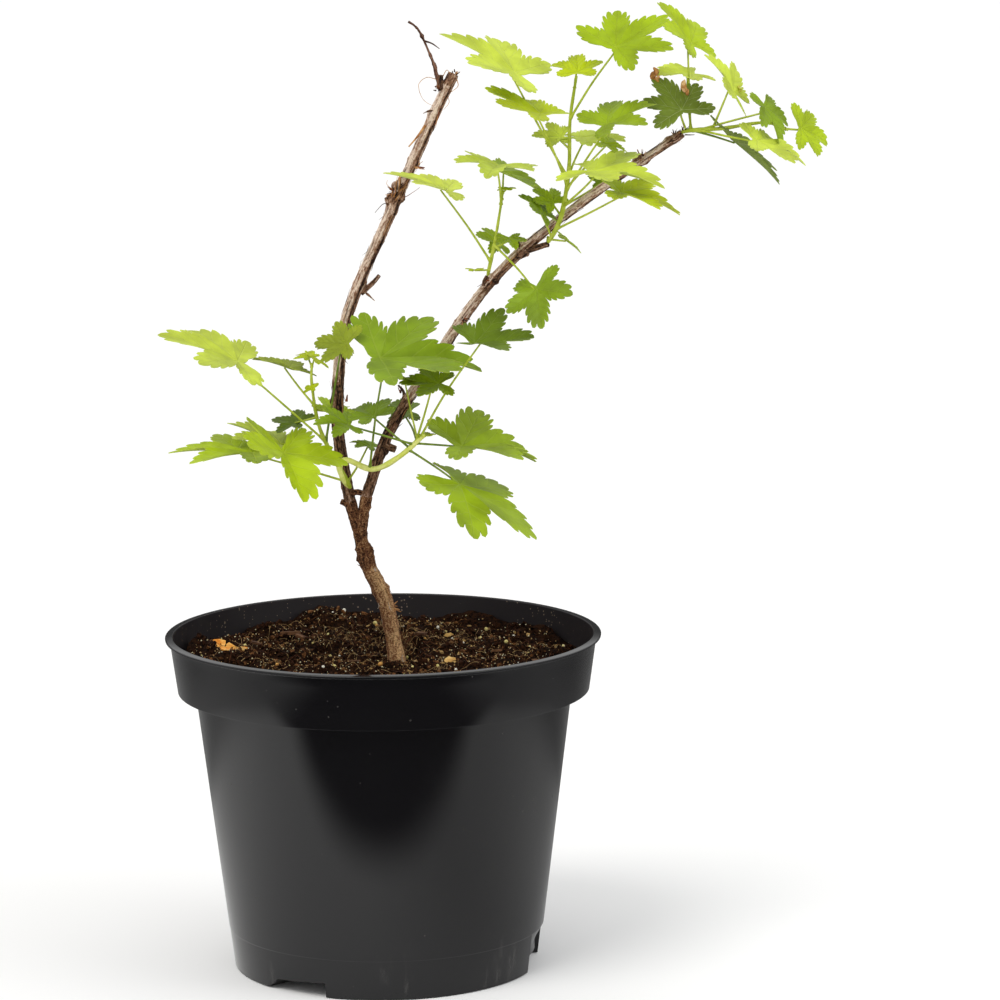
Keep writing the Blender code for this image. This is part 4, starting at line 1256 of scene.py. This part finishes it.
leafStyle = {
    # turn and share of the length
    "lobes": ((-115, 0.65), (-54, 0.85), (0, 1.0), (54, 0.85), (115, 0.65)),
    "halfWidth": 27,
    "teeth": ((0, 1.0), (9.0, 0.94), (16.5, 0.82), (21.6, 0.67)),        # turn off the lobe's vein, share
    "notches": ((5.8, 0.84), (13.4, 0.71), (19.7, 0.58)),
    "sinus": 0.41,
    "baseNotch": 0.07,
    "toothJitter": 0.03,
    "lobeJitter": 0.08,
    "rings": (0, 0.1, 0.22, 0.36, 0.5, 0.64, 0.77, 0.88, 0.95, 1.0),
    "thickness": 0.26,
    "pleat": 0.15,        # how far the blade rises between its lobes, as a share of the length
    "lobeTilt": 0.2,
    "tiltFrom": 0.22,        # the reach where a lobe starts to tilt, and where its tip starts to drop
    "dropFrom": 0.6,
    "tipDrop": 0.16,
    "ruffle": 0.025,
    "swell": 0.035,        # how much the margin swings in and out
    "stalkRadii": (0.47, 0.34),
    "stalkBow": 0.03,
    "stalkOverlap": 2.0,
    "overlapShare": 0.15,
    "droop": (0.0, 0.1),
}


def toothArc(tip, notch, outward, steps):
    # a rounded tooth between its tip and the notch beside it, without its first point
    points = []
    for step in range(1, steps + 1):
        turned = math.pi / 2 * step / steps
        away, rise = (math.sin(turned), math.cos(turned)) if outward else (math.cos(turned), math.sin(turned))
        points.append((tip[0] + (notch[0] - tip[0]) * away, notch[1] + (tip[1] - notch[1]) * rise))
    return points


def halfLobe():
    # turn off the vein and share of the lobe's length, from its tip to the sinus
    teeth, notches = leafStyle["teeth"], leafStyle["notches"]
    points = [teeth[0]]
    for index, notch in enumerate(notches):
        points += toothArc(teeth[index], notch, True, 3)
        points += toothArc(teeth[index + 1], notch, False, 2)
    return points + toothArc(teeth[-1], (leafStyle["halfWidth"], leafStyle["sinus"]), True, 4)


def leafMargin():
    # every column of the blade: turn, share, how far off its vein, lobe number
    lobes, halfWidth, baseNotch = leafStyle["lobes"], leafStyle["halfWidth"], leafStyle["baseNotch"]
    columns = []
    for index, (angle, share) in enumerate(lobes):
        before = lobes[index - 1] if index else None
        after = lobes[index + 1] if index + 1 < len(lobes) else None
        for side, neighbour in ((-1, before), (1, after)):
            reach = abs(neighbour[0] - angle) / 2 if neighbour else halfWidth
            sinus = (share + neighbour[1]) / 2 / share if neighbour else 0.8
            half = []
            for off, length in halfLobe():
                turned = off / halfWidth
                grown = share * length * (1 + (sinus - 1) * max(0.0, (turned - 0.8) / 0.2))
                half.append((angle + side * turned * reach, grown, turned, index))
            if side < 0:        # the tip comes with the other side, and the sinus with the lobe before
                half = half[::-1][1 if before else 0:-1]
            columns += half
    last = columns[-1]
    tail = [(last[0] + (180 - last[0]) * t, last[1] + (baseNotch - last[1]) * t ** 0.6, 1.0, len(lobes) - 1)
            for t in (0.25, 0.5, 0.75)]
    head = [(-angle, share, off, 0) for angle, share, off, _ in reversed(tail)]
    return [*head, *columns, *tail, (180, baseNotch, 1.0, len(lobes) - 1)]


def makeBladeTemplate():
    # a flat disc of rings and columns, spun from one spoke, given its thickness and two materials
    bm = bmesh.new()
    spinLine(bm, [(share + 1e-9, 0, 0) for share in leafStyle["rings"]], len(margin))
    bmesh.ops.recalc_face_normals(bm, faces=bm.faces)
    if sum(face.normal.z for face in bm.faces) < 0:
        bmesh.ops.reverse_faces(bm, faces=bm.faces)
    bmesh.ops.solidify(bm, geom=bm.faces[:], thickness=0.001)
    heights = [vert.co.z for vert in bm.verts]
    middle = (min(heights) + max(heights)) / 2
    uvLayer = bm.loops.layers.uv.new("leafSpot")
    for face in bm.faces:
        face.material_index = 0 if all(vert.co.z > middle for vert in face.verts) else 1
        turns = [math.atan2(loop.vert.co.y, loop.vert.co.x) / math.tau * len(margin) for loop in face.loops]
        for loop, turned in zip(face.loops, turns):
            share = loop.vert.co.to_2d().length
            if share < 0.01:        # the middle belongs to the column of its neighbours
                turned = max(turns, key=abs)
            _, length, off, _ = margin[round(turned) % len(margin)]
            loop[uvLayer].uv = (min(off, 1.0), length * share)
    return meshOf(bm, "blade_template"), middle


margin = leafMargin()
bladeTemplate, bladeMiddle = makeBladeTemplate()


def addBlade(whole, base, length, axes, fold, spread, droop, rng, tone):
    ahead, left, up = axes
    style = leafStyle
    thick = max(style["thickness"], length * 0.01)
    count, lobes, lastLobe = len(margin), len(style["lobes"]), style["lobes"][-1][0]
    jitter = lambda label, number: dealt(rng, *[(-style[label], style[label])] * number)
    reaches = [1 + off for off in jitter("toothJitter", count)]
    tilts = jitter("lobeTilt", lobes)
    grown = jitter("lobeJitter", lobes)
    grown[lobes // 2] = 0
    phase, wave = dealt(rng, (0, math.tau), (0, math.tau))
    columns = []
    for index, (angle, share, off, lobe) in enumerate(margin):
        smooth = (reaches[index - 1] + reaches[index] + reaches[(index + 1) % count]) / 3
        smooth *= 1 + style["swell"] * math.sin(math.radians(angle) * 9 + wave) + grown[lobe] * (1 - off)
        turned = min(abs(angle), lastLobe) * spread
        turned += max(0.0, abs(angle) - lastLobe) * (180 - lastLobe * spread) / (180 - lastLobe)
        columns.append((math.radians(math.copysign(turned, angle)), share * smooth, off, lobe))
    bm = bmesh.new()
    bm.from_mesh(bladeTemplate)
    for vert in bm.verts:
        angle, share, off, lobe = columns[round(math.atan2(vert.co.y, vert.co.x) / math.tau * count) % count]
        reach = vert.co.to_2d().length * share
        if vert.co.to_2d().length < 0.01:
            angle, reach = 0.0, 0.0
        along, across = reach * math.cos(angle), reach * math.sin(angle)
        lift = fold * abs(across) - droop * reach ** 2
        lift += style["pleat"] * reach * off ** 1.5 * (1 - 0.4 * reach)
        lift += tilts[lobe] * max(0.0, reach - style["tiltFrom"]) ** 1.3 * (1 - off ** 2)
        lift += style["ruffle"] * math.sin(angle * 6 + phase) * reach ** 2
        lift -= style["tipDrop"] * max(0.0, reach - style["dropFrom"]) ** 1.5
        thickness = thick * (0.5 if vert.co.z > bladeMiddle else -0.5)
        vert.co = (base + (ahead * along + left * across + up * lift) * length + up * thickness) * mm
    for face in bm.faces:
        face.material_index += tone * 2
    moveInto(whole, bm)


def addStalk(whole, start, end, rng, tint, thick=1.0):
    bow = (end - start).length * leafStyle["stalkBow"]
    middle = start.lerp(end, 0.5) + Vector((*dealt(rng, (-bow, bow), (-bow, bow)), 0))
    first, last = leafStyle["stalkRadii"]
    radius = lambda share: thick * (first + (last - first) * share + 0.4 * max(0.0, 1 - share / 0.09) ** 2)
    addTube(whole, smoothRoute((start, middle, end), 7), radius, 9, tint=tint)


lowerLeftSpray = {
    "stem": ((-13.2, -0.4, 191), (-23, -7, 212), (-26, -10, 230), (-26, -10, 239)),
    "foot": ((-12.4, 3, 187.5), (-12.6, 1.2, 189)),
    "radii": (1.15, 0.5), "stemTint": 0, "thins": 1.3,
    # station, stalk's reach, length, heading, pitch, roll, fold, spread, tone, stalk tint
    "leaves": (
        (0.38, (-33, -6, 32), 32, -165, 25, -15, 0.1, 0.9, "pale", 0),
        (0.67, (-10, 5, 14), 16, 150, 15, 10, 0.15, 1.2, "olive", 0),
        (0.94, (0, 1, 5), 8, 0, -30, 0, 0.1, 1.1, "yellow", 0),
        (0.97, (-1, 6, 3), 7, 140, 10, -10, 0.1, 1.0, "yellow", 0),
        (0.71, (-1, -4, 5), 5, 65, 35, -15, 0.1, 1.0, "yellow", 0),
        (0.37, (9, -13, 40), 14, 160, 0, -45, 0.1, 1.0, "olive", 1),
        (0.0, (-36, -15, 14), 33, 175, 5, 0, 0.0, 0.9, "bright", 0),
        (0.21, (-19, -21, 6), 28, -65, -25, -15, 0.35, 1.2, "bright", 0),
        (0.31, (-19, 6, 1), 24, 160, 20, 0, 0.1, 0.9, "pale", 0),
        (0.58, (-8, 14, -4), 12, 150, 0, -20, 0.1, 1.1, "dark", 0),
        (0.64, (6, 26, -5), 13, 70, 15, 20, 0.1, 0.9, "mid", 0),
        (0.0, (9, 12, 12), 9, 160, 20, 0, 0.1, 1.0, "green", 0),
    ),
}
lowerRightSpray = {
    "stem": ((-13, -3, 200), (-3, -7, 197), (7, -9, 202), (17, -12, 211)),
    "foot": ((-12.6, 2.6, 188), (-14.6, -1, 192), (-16.2, -2.6, 197.5)),
    "radii": (1.25, 0.95), "stemTint": 2, "thins": 0.8,
    "leaves": (
        (0.27, (5, -16, 45), 40, 15, 0, 20, 0.2, 0.8, "green", 1),
        (0.87, (9, -8, 24), 15, 180, 5, -25, 0.15, 1.1, "mid", 0),
        (0.90, (-4, -4, 24), 8, -120, 20, -5, 0.1, 1.0, "mid", 0),
        (0.92, (22, -14, 39), 23, 5, 0, 15, 0.3, 1.0, "dark", 0),
        (0.86, (18, -3, -1), 31, 20, 0, 15, 0.3, 1.0, "mid", 1),
        (0.76, (20, -13, -12), 36, -10, -28, 8, -0.1, 1.1, "mid", 1),
        (0.84, (-25, -7, 9), 14, -155, 15, -25, 0.15, 0.9, "green", 1),
        (0.78, (-14, -3, 13), 14, 120, 15, -20, 0.15, 1.1, "green", 1),
        (0.89, (-4, 26, 8), 14, 180, 0, -20, 0.1, 1.0, "dark", 1),
        (0.98, (1, 0, 0), 5, 80, 5, 0, 0.1, 1.0, "yellow", 0),
    ),
}
middleSpray = {
    "stem": ((42.2, -11, 273.6), (45, -15.5, 287), (48, -17, 305)),
    "foot": ((42, -9.8, 270.6),),
    "radii": (0.85, 0.45), "stemTint": 0, "thins": 1.5,
    "leaves": (
        (0.85, (-1, -5, 15), 23, -100, 0, -10, 0.15, 0.9, "pale", 0),
        (0.91, (-1, 7, 10), 22, 15, -20, 10, 0.1, 1.1, "mid", 0),
        (0.14, (-17, 3, 27), 24, -175, 20, -5, 0.15, 0.9, "light", 0),
        (0.33, (2, 17, 0), 11, -155, 20, -35, 0.1, 1.0, "mid", 0),
        (0.32, (6, -3, 4), 8, -70, -20, 0, 0.1, 1.0, "mid", 0),
        (0.36, (16, -19, -15), 18, -85, -45, 30, 0.05, 1.1, "green", 0),
        (0.03, (-5, -9, 1), 5, 105, 0, 0, 0.1, 1.0, "yellow", 0),
        (0.99, (1, 1, 1), 5, 75, 10, 0, 0.1, 1.0, "yellow", 0),
    ),
}
upperSpray = {
    "stem": ((65.4, -19.5, 286.4), (70, -22, 296), (73, -23, 314), (73.5, -23, 332), (76, -23, 349)),
    "foot": ((65, -16, 287.6),),
    "radii": (1.05, 0.55), "stemTint": 0, "thins": 1.2,
    "leaves": (
        (0.40, (-20, -3, 40), 31, 175, 30, -15, 0.15, 1.0, "pale", 0),
        (0.36, (-10, -17, 28), 24, 160, 20, -5, 0.05, 0.9, "yellow", 0),
        (0.93, (1, -3, 6), 13, 90, 30, 0, 0.2, 1.0, "yellow", 0),
        (0.75, (17, -7, 27), 25, 30, 25, 25, 0.1, 0.9, "lush", 0),
        (0.32, (15, -11, 26), 21, 15, 25, 15, 0.2, 1.0, "mid", 0),
        (0.57, (-3, 11, 4), 11, 180, 0, -30, 0.15, 1.0, "pale", 0),
        (0.40, (5, 15, 14), 18, -10, 0, 5, 0.1, 1.2, "pale", 0),
        (0.34, (14, -1, 17), 10, 10, -15, 20, 0.1, 1.0, "bright", 0),
        (0.23, (11, -22, 15), 26, -15, 0, 10, 0.1, 1.1, "pale", 0),
        (0.08, (24, -23, 16), 24, 5, -10, 10, 0.1, 0.9, "yellow", 0),
        (0.23, (16, 16, 7), 9, 100, 50, 5, 0.1, 1.0, "green", 0),
        (0.03, (-3, -4, 9), 12, 165, 45, -5, 0.1, 1.1, "green", 0),
        (0.01, (5, -7, 1), 9, -20, -35, -20, 0.1, 1.0, "mid", 0),
        (0.17, (-3, 3, 5), 10, 150, 35, -25, 0.1, 1.0, "mid", 0),
    ),
}
tipSpray = {
    "stem": ((117.5, -22.6, 328), (131, -25, 329), (147, -24, 331), (156, -22, 328)),
    "foot": ((114, -21.6, 325.6),),
    "radii": (0.95, 0.5), "stemTint": 0, "thins": 1.2,
    "leaves": (
        (0.0, (-2, -3, 8), 20, 125, 40, -15, 0.0, 0.9, "dusky", 0),
        (0.04, (1, 18, 32), 21, 145, 50, 5, 0.15, 1.05, "bright", 0),
        (0.05, (1, 21, 20), 17, -145, 5, -15, 0.1, 1.0, "light", 0),
        (0.25, (8, 3, 14), 17, -165, 60, -30, 0.15, 1.2, "pale", 0),
        (0.11, (25, -6, 9), 16, -35, -55, -5, 0.1, 1.0, "green", 0),
        (0.97, (6, 2, 0), 16, 35, -20, 55, 0.1, 0.9, "bright", 0),
        (0.12, (21, -16, -3), 21, 15, -15, 20, 0.05, 0.9, "pale", 0),
        (0.06, (15, 8, -4), 27, -30, -35, -20, 0.1, 0.9, "dusky", 1),
    ),
}


def makeSpray(name, spray):
    route = evenRoute((*spray["foot"], *spray["stem"]), 1.0)        # the foot is inside the bough
    stems, leaves = bmesh.new(), bmesh.new()
    first, last = spray["radii"]
    thick = lambda share: (
        (last + (first - last) * (1 - share) ** spray["thins"]) * (1 + 0.07 * math.sin(share * 31))
        * min(1.0, 0.4 + share * 5)
    )
    addTube(stems, route, thick, 14, tint=spray["stemTint"])
    tones = sorted({row[8] for row in spray["leaves"]})
    coarse = smoothRoute(spray["stem"], 4)
    for index, row in enumerate(spray["leaves"]):
        place, reach, length, heading, pitch, roll, fold, spread, tone, tint = row
        rng = random.Random(f"{seed} {name} {index}")
        root = stationOn(coarse, place)
        base = root + Vector(reach)
        axes = spun("ZYX", math.radians(heading), math.radians(-pitch), math.radians(roll), size=3).col
        tip = base + axes[0] * min(leafStyle["stalkOverlap"], length * leafStyle["overlapShare"])
        # a small leaf has a thinner stalk, and each stalk meets its blade from below
        addStalk(stems, root, tip - axes[2] * 0.3, rng, tint, 0.85 if length < 9 else 1.0)
        droop = rng.uniform(*leafStyle["droop"])
        addBlade(leaves, base, length, axes, fold, spread, droop, rng, tones.index(tone))
    makePiece(name + "_stems", stems, stalkMaterials, sharp=60, slot="leaf", replaced=name)
    pairs = [material for tone in tones for material in leafMaterials[tone]]
    makePiece(name + "_leaves", leaves, pairs, sharp=50, slot="leaf")


makeSpray("lower_left_spray", lowerLeftSpray)
makeSpray("lower_right_spray", lowerRightSpray)
makeSpray("middle_spray", middleSpray)
makeSpray("upper_spray", upperSpray)
makeSpray("tip_spray", tipSpray)
bpy.data.meshes.remove(bladeTemplate)
print("leaves made")

# withered lobes curled up on the dark tip leaf, and the bud beside it: place, size, material
withered = bmesh.new()
witheredRng = random.Random("withered")
witheredRows = (
    ((105.8, -12.6, 348.7), 2.0, 0), ((107.2, -14, 346.4), 1.5, 1), ((116.8, -18.1, 344.3), 1.9, 1),
    ((117.7, -18.9, 342.2), 1.1, 0), ((137.7, -18.1, 343.4), 1.0, 2),
)
for place, size, tint in witheredRows:
    route = [
        Vector(place) + Vector((*dealt(witheredRng, (-0.7, 0.7), (-0.7, 0.7)), (step - 1.5) * size * 0.9))
        for step in range(4)
    ]
    radius = lambda share: size * (0.25 + 0.75 * math.sin(math.pi * share))
    relief = lambda thick, share, angle, along: thick * (1 + 0.3 * math.sin(angle * 3 + share * 7))
    addTube(withered, smoothRoute(route, 4), radius, 12, 0.55, relief=relief, tint=tint)
witheredMaterials = mottledSet(
    (500, 0.8, 0.0003), withered_brown=((142, 88, 46), (204, 146, 88)),
    withered_orange=((196, 128, 66), (238, 196, 142)),
)
budMaterial = mottledMaterial("bud_yellow", (186, 182, 70), (212, 206, 110), 500, 0.7, 0.0002)
makePiece("withered_tips", withered, [*witheredMaterials, budMaterial], slot="leaf")
